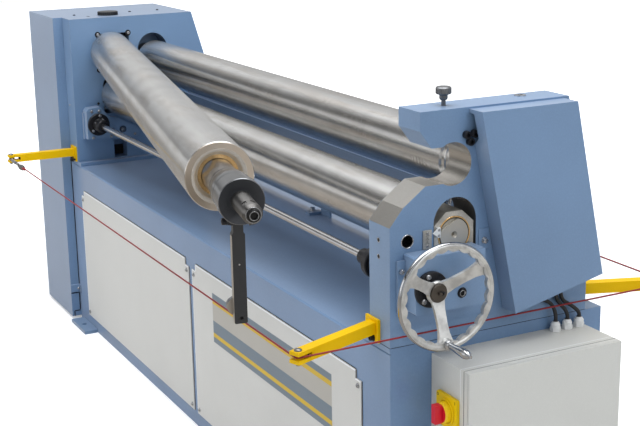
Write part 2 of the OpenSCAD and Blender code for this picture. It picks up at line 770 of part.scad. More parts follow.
module cable_glands() {
  color("#e4e6e4") place()
    for (y = gland_y)
      translate([gland_x, y, box_z + box_h + seat]) {
        cylinder(h = 9, d = gland_d + 3, $fn = 6);
        translate([0, 0, 8]) cylinder(h = 8, d = gland_d);
        translate([0, 0, 16]) cylinder(h = 6.7, d1 = gland_d, d2 = gland_d - 9);
      }
}

// ring of n points round p, square to the direction t
function ring_at(p, t, r, n) = let(u = cross(t, [0.2, 1, 0.35]), a = u / norm(u), b = cross(t, a))
  [for (i = [0 : n - 1]) p + r * cos(360 * i / n) * a + r * sin(360 * i / n) * b];

// point on the smooth curve through four route points
function on_curve(p, q, r, s, k) = 0.5 * (2 * q + k * (r - p) + k * k * (2 * p - 5 * q + 4 * r - s)
  + k * k * k * (3 * q - p - 3 * r + s));

function route_points(route, m) = let(c = len(route) - 1) concat(
  [for (i = [0 : c - 1]) for (j = [0 : m - 1])
    on_curve(route[max(i - 1, 0)], route[i], route[i + 1], route[min(i + 2, c)], j / m)],
  [route[c]]);

// direction of the path at its point i; square to the gland and to the frame at the ends
function way(w, i) = let(c = len(w) - 1,
  d = i == 0 ? [0, 0, 1] : (i == c ? [-1, 0, 0] : w[i + 1] - w[i - 1])) d / norm(d);

// round cable along a route
module cable(route, d, n = 10) {
  w = route_points(route, 3);
  c = len(w) - 1;
  rings = [for (i = [0 : c]) ring_at(w[i], way(w, i), d / 2, n)];
  polyhedron(points = [for (g = rings) for (p = g) p],
    faces = concat([[for (j = [0 : n - 1]) j]], [[for (j = [n - 1 : -1 : 0]) c * n + j]],
      [for (i = [0 : c - 1]) for (j = [0 : n - 1])
        [i * n + j, (i + 1) * n + j, (i + 1) * n + (j + 1) % n]],
      [for (i = [0 : c - 1]) for (j = [0 : n - 1])
        [i * n + j, (i + 1) * n + (j + 1) % n, i * n + (j + 1) % n]]));
}

module supply_cables() {
  color("#1c1c1e") place() translate([frame_out, box_y - 104, box_z + box_h - 581])
    for (route = cable_route)
      cable(route, cable_d);
}

// ---------------------------------------------------------------- trip wire
// arm pointing to -Y from its plate at the origin, turned outwards
module arm(splay) {
  w = arm_w / 2;
  pin_r = tip_dy / cos(splay);
  end = pin_r + 12;
  bx([-w - 14, -6, foot_z + 1], [w + 15, -seat, foot_z + 53]);
  rotate([0, 0, splay]) {
    difference() {
      bx([-w, -end, arm_z - w], [w, -12, arm_z + w]);
      bx([-arm_w, -end - 1, arm_z - pin_d / 2], [arm_w, -end + 40, arm_z + pin_d / 2]);
    }
    intersection() {
      bx([-w, -13, arm_z - w], [w, 20, arm_z + w]);
      rotate([0, 0, -splay]) bx([-60, -60, foot_z], [60, -2, foot_z + 80]);
    }
    translate([0, -pin_r, arm_z - w + 1]) cylinder(h = arm_w - 2, d = pin_d);
  }
}

module arm_at(i, rear) {
  translate([arm_x[i], rear ? rear_foot_y : 0, 0])
    mirror([0, rear ? 1 : 0, 0]) mirror([1 - i, 0, 0]) arm(i == 0 ? splay_left : splay_right);
}

module front_left_arm() {
  color("#ffd700") place() arm_at(0, false);
}

module front_right_arm() {
  color("#ffd700") place() arm_at(1, false);
}

module rear_left_arm() {
  color("#ffd700") place() arm_at(0, true);
}

module rear_right_arm() {
  color("#ffd700") place() arm_at(1, true);
}

module wire_run(x0, x1, y) {
  translate([x0, y, 0]) rotate([0, 90, 0]) cylinder(h = x1 - x0, d = wire_d, $fn = 24);
}

module trip_wire() {
  xr = wire_x[1];
  yf = wire_y[0];
  yr = wire_y[1];
  color("#aa1e28") place() translate([0, 0, arm_z]) {
    wire_run(wire_x[0] + tension_l, xr, yf - bend_r);
    wire_run(wire_x[0] + tension_l, xr, yr + bend_r);
    translate([xr + bend_r, yf, 0]) rotate([-90, 0, 0]) cylinder(h = yr - yf, d = wire_d, $fn = 24);
    translate([xr, yf, 0]) rotate([0, 0, -90]) rotate_extrude(angle = 90)
      translate([bend_r, 0]) circle(d = wire_d, $fn = 24);
    translate([xr, yr, 0]) rotate_extrude(angle = 90)
      translate([bend_r, 0]) circle(d = wire_d, $fn = 24);
  }
}

// eye on the pin, barrel nut and rod up to the wire's end
module tensioner(x, y, side) {
  rod = 5;
  eye = pin_d / 2 + 0.4 + rod / 2;
  off = side * bend_r;
  translate([x, y, 0]) {
    rotate_extrude($fn = 48) translate([eye, 0]) circle(d = rod, $fn = 24);
    translate([eye - 1, off, 0]) rotate([0, 90, 0])
      cylinder(h = tension_l - seat - eye + 1, d = rod, $fn = 24);
    translate([34, off, 0]) rotate([0, 90, 0]) cylinder(h = 52, d = 11, $fn = 32);
    translate([98, off, 0]) rotate([0, 90, 0]) cylinder(h = 22, d = 9, $fn = 32);
  }
}

module wire_tensioner() {
  color("#b4b6b8") place() translate([0, 0, arm_z]) {
    tensioner(wire_x[0], wire_y[0], -1);
    tensioner(wire_x[0], wire_y[1], 1);
  }
}

base_body();
front_panel_left();
front_panel_right();
floor_feet();
left_side_frame();
right_side_frame();
drive_cover();
cover_knob();
gear_cover();
worm_box();
left_worm_box();
left_shaft_flange();
right_shaft_flange();
worm_flange();
cross_shaft();
handwheel();
crank_handle();
lower_bearing_left();
lower_bearing_right();
lower_roll();
rear_bearing_left();
rear_bearing_right();
rear_roll();
swivel_block();
top_roll();
brass_bush();
roll_sleeve();
lever_bar();
clamp_screw();
back_sheet();
pointer_scale();
electric_box();
box_door();
switch_plate();
switch_knob();
cable_glands();
supply_cables();
front_left_arm();
front_right_arm();
rear_left_arm();
rear_right_arm();
trip_wire();
wire_tensioner();
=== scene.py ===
"""Finishes and small parts for a motor-driven plate rolling machine.

The CAD model gives every casting, sheet and roll. This script dresses each of them and adds the
screws, washers, plugs, marks and rings that are too small for the CAD, dark pieces of painted
shade in holes, slots and gaps, and light strips and a dot of painted highlight, then the floor,
the lamps and the camera. Sizes are in millimetres and are laid out from the CAD nodes' own boxes.
"""
import json
import logging
import math
from dataclasses import dataclass, field
from enum import Enum
from typing import Callable, Optional, Sequence

import bmesh
import bpy
import numpy as np
from mathutils import Matrix, Vector


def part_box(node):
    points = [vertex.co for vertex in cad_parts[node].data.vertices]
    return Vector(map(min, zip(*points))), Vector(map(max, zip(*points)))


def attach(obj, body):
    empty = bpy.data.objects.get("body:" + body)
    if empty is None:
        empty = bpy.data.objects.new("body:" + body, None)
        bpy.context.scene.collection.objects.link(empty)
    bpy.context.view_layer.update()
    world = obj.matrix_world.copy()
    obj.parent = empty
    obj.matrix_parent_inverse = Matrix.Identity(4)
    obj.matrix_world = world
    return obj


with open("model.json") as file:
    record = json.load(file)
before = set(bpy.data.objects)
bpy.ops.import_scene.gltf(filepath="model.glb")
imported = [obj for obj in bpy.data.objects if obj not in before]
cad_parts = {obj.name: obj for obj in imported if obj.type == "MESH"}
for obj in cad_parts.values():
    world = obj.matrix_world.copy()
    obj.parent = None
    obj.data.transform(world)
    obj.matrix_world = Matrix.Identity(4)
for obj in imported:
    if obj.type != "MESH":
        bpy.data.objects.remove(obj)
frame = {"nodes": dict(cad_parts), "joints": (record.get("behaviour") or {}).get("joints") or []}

log = logging.getLogger("rolling_machine")

Array = np.ndarray
Point = Sequence[float]
Outline = Sequence[tuple[float, float]]
Rgb = tuple[float, float, float]
Rgba = tuple[float, float, float, float]
Warp = Callable[[Array, Array, Array], tuple[Array, Array]]
Socket = bpy.types.NodeSocket

MM = 0.001
X, Y, Z = np.eye(3)
# Faces that meet at this many degrees or more are shaded with a sharp edge between them.
SHARP_FROM = 40
# Points this near, in metres, are one point; edges this short are taken out.
MERGE_WITHIN = 2e-6
TOO_SHORT = 1e-6


# ---------------------------------------------------------------- places on the CAD
def unit(way: Point) -> Array:
    """The direction with a length of 1."""
    way = np.array(way, float)
    return way / np.linalg.norm(way)


def moved(point: Array, x: float = 0, y: float = 0, z: float = 0) -> Array:
    """The point moved by distances in millimetres."""
    return np.array(point) + np.array((x, y, z)) * MM


def spots(origin: Array, offsets: Sequence[Point]) -> list[Array]:
    """Points that lie at offsets in millimetres from an origin in metres."""
    return [moved(origin, *offset) for offset in offsets]


def corner(node: str, side: Point, shift: Point = (0, 0, 0)) -> Array:
    """A point on a CAD node's box.

    Args:
        node: the CAD node.
        side: -1, 0 or 1 for each axis: the low face, the middle or the high face.
        shift: millimetres added to that point.

    Returns:
        The point in metres in the row frame.
    """
    low, high = (np.array(v, float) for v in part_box(node))
    half = (high - low) / 2
    return low + half + half * np.array(side, float) + np.array(shift, float) * MM


@dataclass(frozen=True)
class Shaft:
    """The line that a turning body turns about, from the record's joints.

    Attributes:
        joint: the joint's name.
    """

    joint: str

    @property
    def spec(self) -> dict:
        """The joint's entry in the record."""
        return next(j for j in frame["joints"] if j["name"] == self.joint)

    @property
    def way(self) -> Array:
        """Unit direction of the line."""
        return unit(self.spec["axis"])

    @property
    def start(self) -> Array:
        """A point on the line, in metres."""
        return np.array(self.spec["pos_m"], float)

    def at(self, along: float) -> Array:
        """The point that lies so many millimetres along the line from its start, in metres."""
        return self.start + MM * (along * self.way)

    def reach(self, node: str, end: int) -> float:
        """Millimetres along the line to a node's last vertex at one end.

        Args:
            node: the CAD node.
            end: 1 for the far end, -1 for the near end.

        Returns:
            The distance from the line's start.
        """
        mesh = frame["nodes"][node].data
        co = np.empty(len(mesh.vertices) * 3)
        mesh.vertices.foreach_get("co", co)
        t = (co.reshape(-1, 3) - self.start) @ self.way / MM
        return float(t.max() if end > 0 else t.min())


# ---------------------------------------------------------------- surfaces
@dataclass
class Shell:
    """One closed surface.

    Attributes:
        points: its points in metres.
        faces: its faces as lists of point numbers.
    """

    points: Array
    faces: list[Sequence[int]]

    def placed(self, at: Point, facing: Point = Z, turn: float = 0) -> "Shell":
        """The shell moved so that its own +Z looks along `facing`.

        Args:
            at: where its origin goes, in metres.
            facing: the direction its own +Z takes.
            turn: degrees it is turned about that direction first.

        Returns:
            The moved shell.
        """
        k = unit(facing)
        upright = abs(k[2]) >= 0.9
        i = unit(np.cross(Y if upright else Z, k))
        j = np.cross(k, i)
        c, s = math.cos(math.radians(turn)), math.sin(math.radians(turn))
        basis = np.stack([c * i + s * j, c * j - s * i, k])
        return Shell(self.points @ basis + np.array(at, float), self.faces)


def grid_faces(rows: int, cols: int, wrap: bool = True,
               loop: bool = False) -> list[tuple[int, int, int, int]]:
    """Quads of a grid of points, row after row.

    Args:
        rows: rows of points.
        cols: points in a row.
        wrap: whether the last point of a row joins the first.
        loop: whether the last row joins the first.

    Returns:
        Four point numbers a quad.
    """
    i, j = np.meshgrid(np.arange(rows - (not loop)), np.arange(cols - (not wrap)), indexing="ij")
    after, beside = (i + 1) % rows, (j + 1) % cols
    quads = np.stack([i * cols + j, i * cols + beside, after * cols + beside, after * cols + j], -1)
    return [tuple(q) for q in quads.reshape(-1, 4).tolist()]


def round_angles(sides: int) -> Array:
    """Evenly spaced angles of a full turn, in radians."""
    return np.linspace(0, 2 * math.pi, sides, endpoint=False)


def turned(profile: Outline, sides: int = 32, shape: Optional[Warp] = None) -> Shell:
    """Surface turned about +Z.

    P(i, a) = (r_i cos a, r_i sin a, z_i), where `shape` may change r and z as functions of the
    angle a, as for a hexagon or a cross recess.

    Args:
        profile: (radius, height) in millimetres from the foot to the top, both ends on the axis.
        sides: points round the axis.
        shape: takes the r, z and a grids and returns the changed r and z grids.

    Returns:
        A closed shell.
    """
    p = np.array(profile, float)
    r, z = np.repeat(p[:, :1], sides, 1), np.repeat(p[:, 1:], sides, 1)
    angle = np.repeat(round_angles(sides)[None, :], len(p), 0)
    if shape:
        r, z = shape(r, z, angle)
    points = np.stack([r * np.cos(angle), r * np.sin(angle), z], -1).reshape(-1, 3) * MM
    return Shell(points, grid_faces(len(p), sides))


def disc(radius: float, height: float, sides: int = 32) -> Shell:
    """Flat disc about +Z, its foot at z = 0; sizes in millimetres."""
    return turned([(0, 0), (radius, 0), (radius, height), (0, height)], sides)


def plate(outline: Outline, thickness: float, bevel: float = 0.4) -> Shell:
    """Flat plate with a bevelled edge, its foot at z = 0.

    The outline is repeated at four heights, drawn in at the foot and the top by the bevel along
    each corner's bisector b = (n1 + n2) / (1 + n1.n2), n1 and n2 being the edges' normals.

    Args:
        outline: corners in millimetres, anticlockwise.
        thickness: millimetres.
        bevel: millimetres cut off the edges.

    Returns:
        A closed shell.
    """
    p = np.array(outline, float)
    edge = np.roll(p, -1, 0) - p
    n = np.stack([edge[:, 1], -edge[:, 0]], -1)
    n = n / np.linalg.norm(n, axis=1, keepdims=True)
    prev = np.roll(n, 1, 0)
    b = (n + prev) / (1 + (n * prev).sum(1, keepdims=True))
    level = [(bevel, 0.0), (0.0, bevel), (0.0, thickness - bevel), (bevel, thickness)]
    rings = [np.c_[p - b * d, np.full(len(p), z)] for d, z in level]
    m = len(p)
    faces = grid_faces(4, m) + [tuple(range(m))[::-1], tuple(range(3 * m, 4 * m))]
    return Shell(np.concatenate(rings) * MM, faces)


def block(size: Point, bevel: float = 0.4) -> Shell:
    """Bevelled bar centred on the origin in x and y, its foot at z = 0; size in millimetres."""
    x, y, z = size[0] / 2, size[1] / 2, size[2]
    return plate([(-x, -y), (x, -y), (x, y), (-x, y)], z, bevel)


def ring(inner: float, outer: float, height: float, sides: int = 48, bevel: float = 0.5) -> Shell:
    """Flat ring about +Z, its foot at z = 0; sizes in millimetres.

    P(a, k) = (r_k cos a, r_k sin a, z_k), where k runs round the bevelled section.

    Args:
        inner: radius of the hole.
        outer: radius over the ring.
        height: its thickness.
        sides: points round the axis.
        bevel: cut off the edges, at most a third of the section.

    Returns:
        A closed shell.
    """
    b = min(bevel, (outer - inner) / 3, height / 3)
    section = np.array([(inner + b, 0), (outer - b, 0), (outer, b), (outer, height - b),
                        (outer - b, height), (inner + b, height), (inner, height - b), (inner, b)])
    a = round_angles(sides)[:, None]
    r, z = section[:, 0][None, :], section[:, 1][None, :]
    points = np.stack([r * np.cos(a), r * np.sin(a), np.repeat(z, sides, 0)], -1)
    return Shell(points.reshape(-1, 3) * MM, grid_faces(sides, len(section), loop=True))


def hoop(reach: float, wire: float) -> Shell:
    """Round wire bent to a circle about +Z; sizes in millimetres.

    P(a, t) = ((R + w cos t) cos a, (R + w cos t) sin a, w sin t), R the reach and w the wire's
    radius.

    Args:
        reach: from the axis to the middle of the wire.
        wire: the wire's radius.

    Returns:
        A closed shell.
    """
    sides, across = 32, 12
    a, t = round_angles(sides)[:, None], round_angles(across)[None, :]
    r = reach + wire * np.cos(t)
    points = np.stack([r * np.cos(a), r * np.sin(a), np.repeat(wire * np.sin(t), sides, 0)], -1)
    return Shell(points.reshape(-1, 3) * MM, grid_faces(sides, across, loop=True))


def bolt_circle(middle: Array, radius: float, turns: Sequence[float]) -> list[Array]:
    """Points on a circle that looks along X, at middle + radius (0, cos a, sin a).

    Args:
        middle: its centre in metres.
        radius: in millimetres.
        turns: the angles a in degrees.

    Returns:
        The points in metres.
    """
    return spots(middle, [(0, radius * math.cos(a), radius * math.sin(a))
                          for a in map(math.radians, turns)])


# ---------------------------------------------------------------- screws
class Head(Enum):
    """Kinds of screw head."""

    SOCKET = "socket cap"
    HEX = "hexagon"
    PAN = "pan with a cross"
    BUTTON = "button with a socket"
    GRUB = "grub screw"


@dataclass(frozen=True)
class Screw:
    """A screw's head, seen on the face it holds.

    Attributes:
        head: the kind of head.
        size: diameter over the head, or across a hexagon's flats, in millimetres.
        height: how far the head stands off its seat, in millimetres.
        washer: diameter of the washer below it, or 0 for none.
    """

    head: Head
    size: float
    height: float
    washer: float = 0

    @staticmethod
    def hexagon(angle: Array, flats: float) -> Array:
        """Radius of a hexagon at each angle: (flats / 2) / cos(a mod 60 - 30 degrees)."""
        third = math.pi / 3
        return flats / 2 / np.cos(np.mod(angle, third) - third / 2)

    def top(self) -> Shell:
        """The head itself, its seat at z = 0.

        Returns:
            A closed shell.
        """
        r, h = self.size / 2, self.height
        if self.head is Head.HEX:
            def shape(rr: Array, z: Array, a: Array) -> tuple[Array, Array]:
                """Six flats, r = hexagon(a), with corners cut to z = h - 0.6 (hexagon(a) - r).

                Args:
                    rr: radii.
                    z: heights.
                    a: angles.

                Returns:
                    The changed radii and heights.
                """
                hx = self.hexagon(a, self.size)
                rr = np.where(rr >= r, hx, rr)
                z = np.where((z > 0) & (rr > r * 0.99), h - (hx - r) * 0.6, z)
                return rr, z
            return turned([(0, 0), (r, 0), (r, h), (r * 0.94, h), (0, h)], 24, shape)
        if self.head is Head.PAN:
            def cross(rr: Array, z: Array, a: Array) -> tuple[Array, Array]:
                """A cross recess: arms of half width 0.16 r, sunk by half the height.

                Args:
                    rr: radii.
                    z: heights.
                    a: angles.

                Returns:
                    The radii and the changed heights.
                """
                near = rr * np.minimum(np.abs(np.sin(a)), np.abs(np.cos(a)))
                arm = (near < r * 0.16) & (rr < r * 0.62) & (z > 0)
                return rr, z - np.where(arm, h * 0.5, 0)
            dome = [(r * math.cos(t), h * (0.3 + 0.7 * math.sin(t)))
                    for t in np.linspace(0, math.pi / 2, 9)[:-1]]
            return turned([(0, 0), (r, 0)] + dome + [(r * 0.12, h), (0, h)], 40, cross)
        flats = r * (1.05 if self.head is Head.SOCKET else 0.95)
        deep = h * (0.6 if self.head is Head.SOCKET else 0.75)

        def socket(rr: Array, z: Array, a: Array) -> tuple[Array, Array]:
            """The two rings before the middle take a hexagon's outline, r = hexagon(a).

            Args:
                rr: radii.
                z: heights.
                a: angles.

            Returns:
                The changed radii and the heights.
            """
            rows = np.arange(len(rr))[:, None]
            inner = (rows >= len(rr) - 3) & (rows < len(rr) - 1)
            return np.where(inner, self.hexagon(a, flats), rr), z
        c = 0.12 * r
        if self.head is Head.SOCKET:
            outside = [(0, 0), (r, 0), (r, h - c), (r - c, h), (r * 0.72, h)]
        elif self.head is Head.BUTTON:
            outside = [(0, 0), (r, 0), (r, h * 0.25), (r * 0.9, h * 0.65), (r * 0.72, h * 0.95),
                       (r * 0.66, h)]
        else:
            outside = [(0, 0), (r, 0), (r, h), (r * 0.7, h)]
        return turned(outside + [(flats / 2, h), (flats / 2, h - deep), (0, h - deep)], 24, socket)

    def shells(self, at: Point, facing: Point, turn: float = 0) -> list[Shell]:
        """The head and its washer on a face.

        Args:
            at: the middle of its seat, in metres.
            facing: the way the head looks.
            turn: degrees about that way.

        Returns:
            Closed shells.
        """
        if not self.washer:
            return [self.top().placed(at, facing, turn)]
        k = unit(facing)
        thick = max(0.8, self.washer * 0.08)
        flat = ring(self.size * 0.3, self.washer / 2, thick, 32)
        return [flat.placed(at, k), self.top().placed(np.array(at) + k * thick * MM, k, turn)]


def screws(kind: Screw, places: Sequence[Point], facing: Point) -> list[Shell]:
    """The same screw at several places, each turned a little further than the last."""
    first, step = 17, 41
    return [s for i, p in enumerate(places) for s in kind.shells(p, facing, first + step * i)]


# ---------------------------------------------------------------- finishes
def linear(rgb: Rgb, factor: float = 1.0) -> Rgba:
    """A screen colour as the linear colour a shader takes.

    Args:
        rgb: the screen colour, 0 to 255.
        factor: what the linear colour is multiplied by, held at 1.

    Returns:
        Red, green, blue and an alpha of 1.
    """
    c = np.array(rgb, float) / 255
    c = np.where(c <= 0.04045, c / 12.92, ((c + 0.055) / 1.055) ** 2.4)
    return (*np.minimum(c * factor, 1).tolist(), 1.0)


class Graph:
    """Builds one material's nodes around a Principled shader.

    Attributes:
        shader: the Principled node.
        place: the Object coordinates, in metres.
    """

    def __init__(self, material: bpy.types.Material) -> None:
        """Starts from a shader and an output.

        Args:
            material: the material to fill.
        """
        material.use_nodes = True
        self.tree = material.node_tree
        self.tree.nodes.clear()
        self.shader = self.node("ShaderNodeBsdfPrincipled")
        out = self.node("ShaderNodeOutputMaterial")
        self.tree.links.new(self.shader.outputs[0], out.inputs["Surface"])
        self.place = self.node("ShaderNodeTexCoord").outputs["Object"]

    def node(self, kind: str, **settings: object) -> bpy.types.Node:
        """A new node with its properties set.

        Args:
            kind: the node's type.
            settings: its properties by name.

        Returns:
            The node.
        """
        n = self.tree.nodes.new(kind)
        for key, value in settings.items():
            setattr(n, key, value)
        return n

    def put(self, value: object, socket: Socket) -> None:
        """Links a socket's value, or writes a constant on the socket itself.

        Args:
            value: another node's output, or a constant.
            socket: the input that takes it.
        """
        if isinstance(value, Socket):
            self.tree.links.new(value, socket)
        else:
            socket.default_value = value

    def set(self, **inputs: object) -> None:
        """Sets shader inputs by name, with underscores for spaces."""
        for key, value in inputs.items():
            self.put(value, self.shader.inputs[key.replace("_", " ")])

    def math(self, op: str, a: object, b: object) -> Socket:
        """One arithmetic step on two numbers.

        Args:
            op: the step, such as MULTIPLY.
            a: the first number.
            b: the second number.

        Returns:
            The result.
        """
        n = self.node("ShaderNodeMath", operation=op)
        self.put(a, n.inputs[0])
        self.put(b, n.inputs[1])
        return n.outputs[0]

    def vector(self, op: str, a: object, b: object) -> bpy.types.Node:
        """One step on two vectors.

        Args:
            op: the step, such as SCALE.
            a: the first vector.
            b: the second vector.

        Returns:
            The node, because some steps give a number and some a vector.
        """
        n = self.node("ShaderNodeVectorMath", operation=op)
        self.put(a, n.inputs[0])
        self.put(b, n.inputs[1])
        return n

    def xyz(self) -> tuple[Socket, ...]:
        """The Object coordinates one by one.

        Returns:
            x, y and z in metres.
        """
        n = self.node("ShaderNodeSeparateXYZ")
        self.put(self.place, n.inputs[0])
        return tuple(n.outputs)

    def noise(self, per_metre: float, detail: float = 2.0, stretch: Point = (1, 1, 1),
              seed: float = 0.0) -> Socket:
        """Noise on the Object coordinates.

        Args:
            per_metre: waves in a metre.
            detail: octaves.
            stretch: factors on x, y and z that draw the noise out or together.
            seed: shifts the noise to another place.

        Returns:
            The noise, about 0.3 to 0.7.
        """
        scaled = self.vector("MULTIPLY_ADD", self.place, tuple(stretch))
        scaled.inputs[2].default_value = (seed, seed * 0.7, -seed)
        n = self.node("ShaderNodeTexNoise")
        n.inputs["Scale"].default_value = per_metre
        n.inputs["Detail"].default_value = detail
        self.put(scaled.outputs[0], n.inputs["Vector"])
        return n.outputs["Fac"]

    def ramp(self, value: object, low: float, high: float, a: float = 0.0,
             b: float = 1.0) -> Socket:
        """Maps one range of numbers to another, held at the ends.

        Args:
            value: what is mapped.
            low: the value that gives a.
            high: the value that gives b.
            a: the result at low.
            b: the result at high.

        Returns:
            The mapped value.
        """
        n = self.node("ShaderNodeMapRange", clamp=True)
        self.put(value, n.inputs[0])
        for i, v in enumerate((low, high, a, b)):
            n.inputs[i + 1].default_value = v
        return n.outputs[0]

    def mix(self, share: object, a: object, b: object) -> Socket:
        """Mixes two colours.

        Args:
            share: from 0 to 1.
            a: the colour at 0.
            b: the colour at 1.

        Returns:
            The mixed colour.
        """
        n = self.node("ShaderNodeMix", data_type="RGBA")
        self.put(share, n.inputs["Factor"])
        self.put(a, n.inputs[6])
        self.put(b, n.inputs[7])
        return n.outputs[2]

    def between(self, value: object, low: float, high: float) -> Socket:
        """1 where low < value < high, else 0."""
        return self.math("MULTIPLY", self.above(value, low), self.below(value, high))

    def below(self, value: object, limit: float) -> Socket:
        """1 where the value is less than the limit, else 0."""
        return self.math("LESS_THAN", value, limit)

    def above(self, value: object, limit: float) -> Socket:
        """1 where the value is more than the limit, else 0."""
        return self.math("GREATER_THAN", value, limit)

    def both(self, *masks: object) -> Socket:
        """The product of masks: 1 where every mask is 1.

        Args:
            masks: each from 0 to 1.

        Returns:
            The mask.
        """
        found = masks[0]
        for m in masks[1:]:
            found = self.math("MULTIPLY", found, m)
        return found

    def either(self, *masks: object) -> Socket:
        """The highest of masks: 1 where any mask is 1.

        Args:
            masks: each from 0 to 1.

        Returns:
            The mask.
        """
        found = masks[0]
        for m in masks[1:]:
            found = self.math("MAXIMUM", found, m)
        return found

    def relief(self, height: object, depth: float) -> Socket:
        """A bump normal.

        Args:
            height: from 0 to 1 over the surface.
            depth: what a height of 1 stands for, in millimetres.

        Returns:
            The normal.
        """
        n = self.node("ShaderNodeBump")
        n.inputs["Strength"].default_value = 1.0
        n.inputs["Distance"].default_value = depth * MM
        self.put(height, n.inputs["Height"])
        return n.outputs[0]

    def about(self, start: Point, way: Point) -> tuple[Socket, Socket]:
        """Millimetres along a line and out from it.

        Args:
            start: a point on the line, in metres.
            way: its unit direction.

        Returns:
            The distance along and the distance out.
        """
        off = self.vector("SUBTRACT", self.place, tuple(start)).outputs[0]
        along = self.vector("DOT_PRODUCT", off, tuple(way)).outputs["Value"]
        n = self.node("ShaderNodeVectorMath", operation="LENGTH")
        self.put(self.vector("CROSS_PRODUCT", off, tuple(way)).outputs[0], n.inputs[0])
        return (self.math("MULTIPLY", along, 1 / MM),
                self.math("MULTIPLY", n.outputs["Value"], 1 / MM))

    def step(self, mask: object, a: object, b: float) -> Socket:
        """Mixes two numbers.

        Args:
            mask: from 0 to 1.
            a: the number at 0.
            b: the number at 1.

        Returns:
            The mixed number.
        """
        n = self.node("ShaderNodeMix", data_type="FLOAT")
        self.put(mask, n.inputs["Factor"])
        self.put(a, n.inputs[2])
        n.inputs[3].default_value = b
        return n.outputs[0]

    def seen(self) -> Socket:
        """Finds the rays that show the surroundings: from the camera, off gloss or through glass.

        Returns:
            1 for such a ray, else 0.
        """
        path = self.node("ShaderNodeLightPath")
        return self.either(path.outputs["Is Camera Ray"], path.outputs["Is Glossy Ray"],
                           path.outputs["Is Transmission Ray"])


@dataclass(frozen=True)
class Skin:
    """What a zone of a surface looks like.

    Attributes:
        colour: screen colour, 0 to 255.
        bare: metallic share.
        rough: roughness.
    """

    colour: Rgb
    bare: float
    rough: float


Zones = list[tuple[Socket, Skin]]
Masks = Callable[[Graph], Zones]

# The pale veil that a coat shows at a low angle: its tint, as a linear colour, and its roughness.
VEIL = (1.0, 0.84, 0.66, 1.0)
VEIL_ROUGH = 0.5
# How far a coat's roughness wanders up and down.
ROUGH_WANDER = 0.012


def lay_zones(g: Graph, zones: Optional[Masks], colour: object, bare: object,
              rough: object) -> tuple[object, object, object]:
    """Lays each zone over the one before it.

    Args:
        g: the material's graph.
        zones: gives each zone's mask and skin, or None for no zones.
        colour: the colour outside the zones.
        bare: the metallic share outside them.
        rough: the roughness outside them.

    Returns:
        The colour, metallic share and roughness with the zones.
    """
    for mask, skin in (zones(g) if zones else []):
        colour = g.mix(mask, colour, linear(skin.colour))
        bare = g.step(mask, bare, skin.bare)
        rough = g.step(mask, rough, skin.rough)
    return colour, bare, rough


@dataclass(frozen=True)
class Finish:
    """A surface finish.

    Attributes:
        name: the material's name.
        colour: screen colour, 0 to 255.
        rough: roughness.
        slot: the record's material slot it stands for; not used.
    """

    name: str
    colour: Rgb
    rough: float
    slot: str

    def build(self, g: Graph) -> None:
        """Fills the shader; each kind of finish has its own way."""
        raise NotImplementedError

    def material(self) -> bpy.types.Material:
        """The finish as a material, made once.

        Returns:
            The Blender material.
        """
        found = bpy.data.materials.get("finish_" + self.name)
        if found:
            return found
        made = bpy.data.materials.new("finish_" + self.name)
        self.build(Graph(made))
        return made

    def dress(self, *nodes: str) -> None:
        """Puts the finish on CAD nodes.

        Args:
            nodes: the nodes' names.
        """
        for name in nodes:
            thing = frame["nodes"][name]
            for held in thing.material_slots:
                held.material = self.material()
            log.info("%s dressed with %s", name, self.name)


@dataclass(frozen=True)
class Paint(Finish):
    """Enamel or powder coat: soft tone changes, a fine grain in the coat and a skin of gloss.

    Attributes:
        spread: how far the tone wanders, as a share of the colour.
        grain: size of the coat's grain in millimetres.
        depth: depth of that grain in millimetres.
        dust: share by which tops of the grain are lighter.
        shine: level of the gloss.
        bloom: weight of the pale veil that the coat shows on faces seen at a low angle.
        clouds: slow changes of tone in a metre.
        dulling: slow changes of gloss in a metre.
    """

    spread: float = 0.05
    grain: float = 2.4
    depth: float = 0.05
    dust: float = 0.03
    shine: float = 0.5
    bloom: float = 0.0
    clouds: float = 3.1
    dulling: float = 4

    def tone(self, g: Graph) -> Socket:
        """The colour with its slow and fine changes.

        Args:
            g: the material's graph.

        Returns:
            A colour socket.
        """
        slow = g.ramp(g.noise(self.clouds, 3, seed=2.0), 0.36, 0.64)
        body = g.mix(slow, linear(self.colour, 1 - self.spread),
                     linear(self.colour, 1 + self.spread))
        fine = g.ramp(g.noise(900 / self.grain, 2, seed=5.0), 0.45, 0.72, 0, self.dust * 4)
        return g.mix(fine, body, linear(self.colour, 1 + 12 * self.dust))

    def build(self, g: Graph) -> None:
        """Tone, gloss, pale veil, and the coat's roughness and relief.

        Args:
            g: the material's graph.
        """
        wander = g.ramp(g.noise(self.dulling, 2, seed=9.0), 0.3, 0.7, self.rough - ROUGH_WANDER,
                        self.rough + ROUGH_WANDER)
        peel = g.noise(1 / MM / self.grain, 2, seed=1.0)
        g.set(Base_Color=self.tone(g), Specular_IOR_Level=self.shine, Sheen_Weight=self.bloom,
              Sheen_Roughness=VEIL_ROUGH, Sheen_Tint=VEIL, Roughness=wander,
              Normal=g.relief(peel, self.depth))


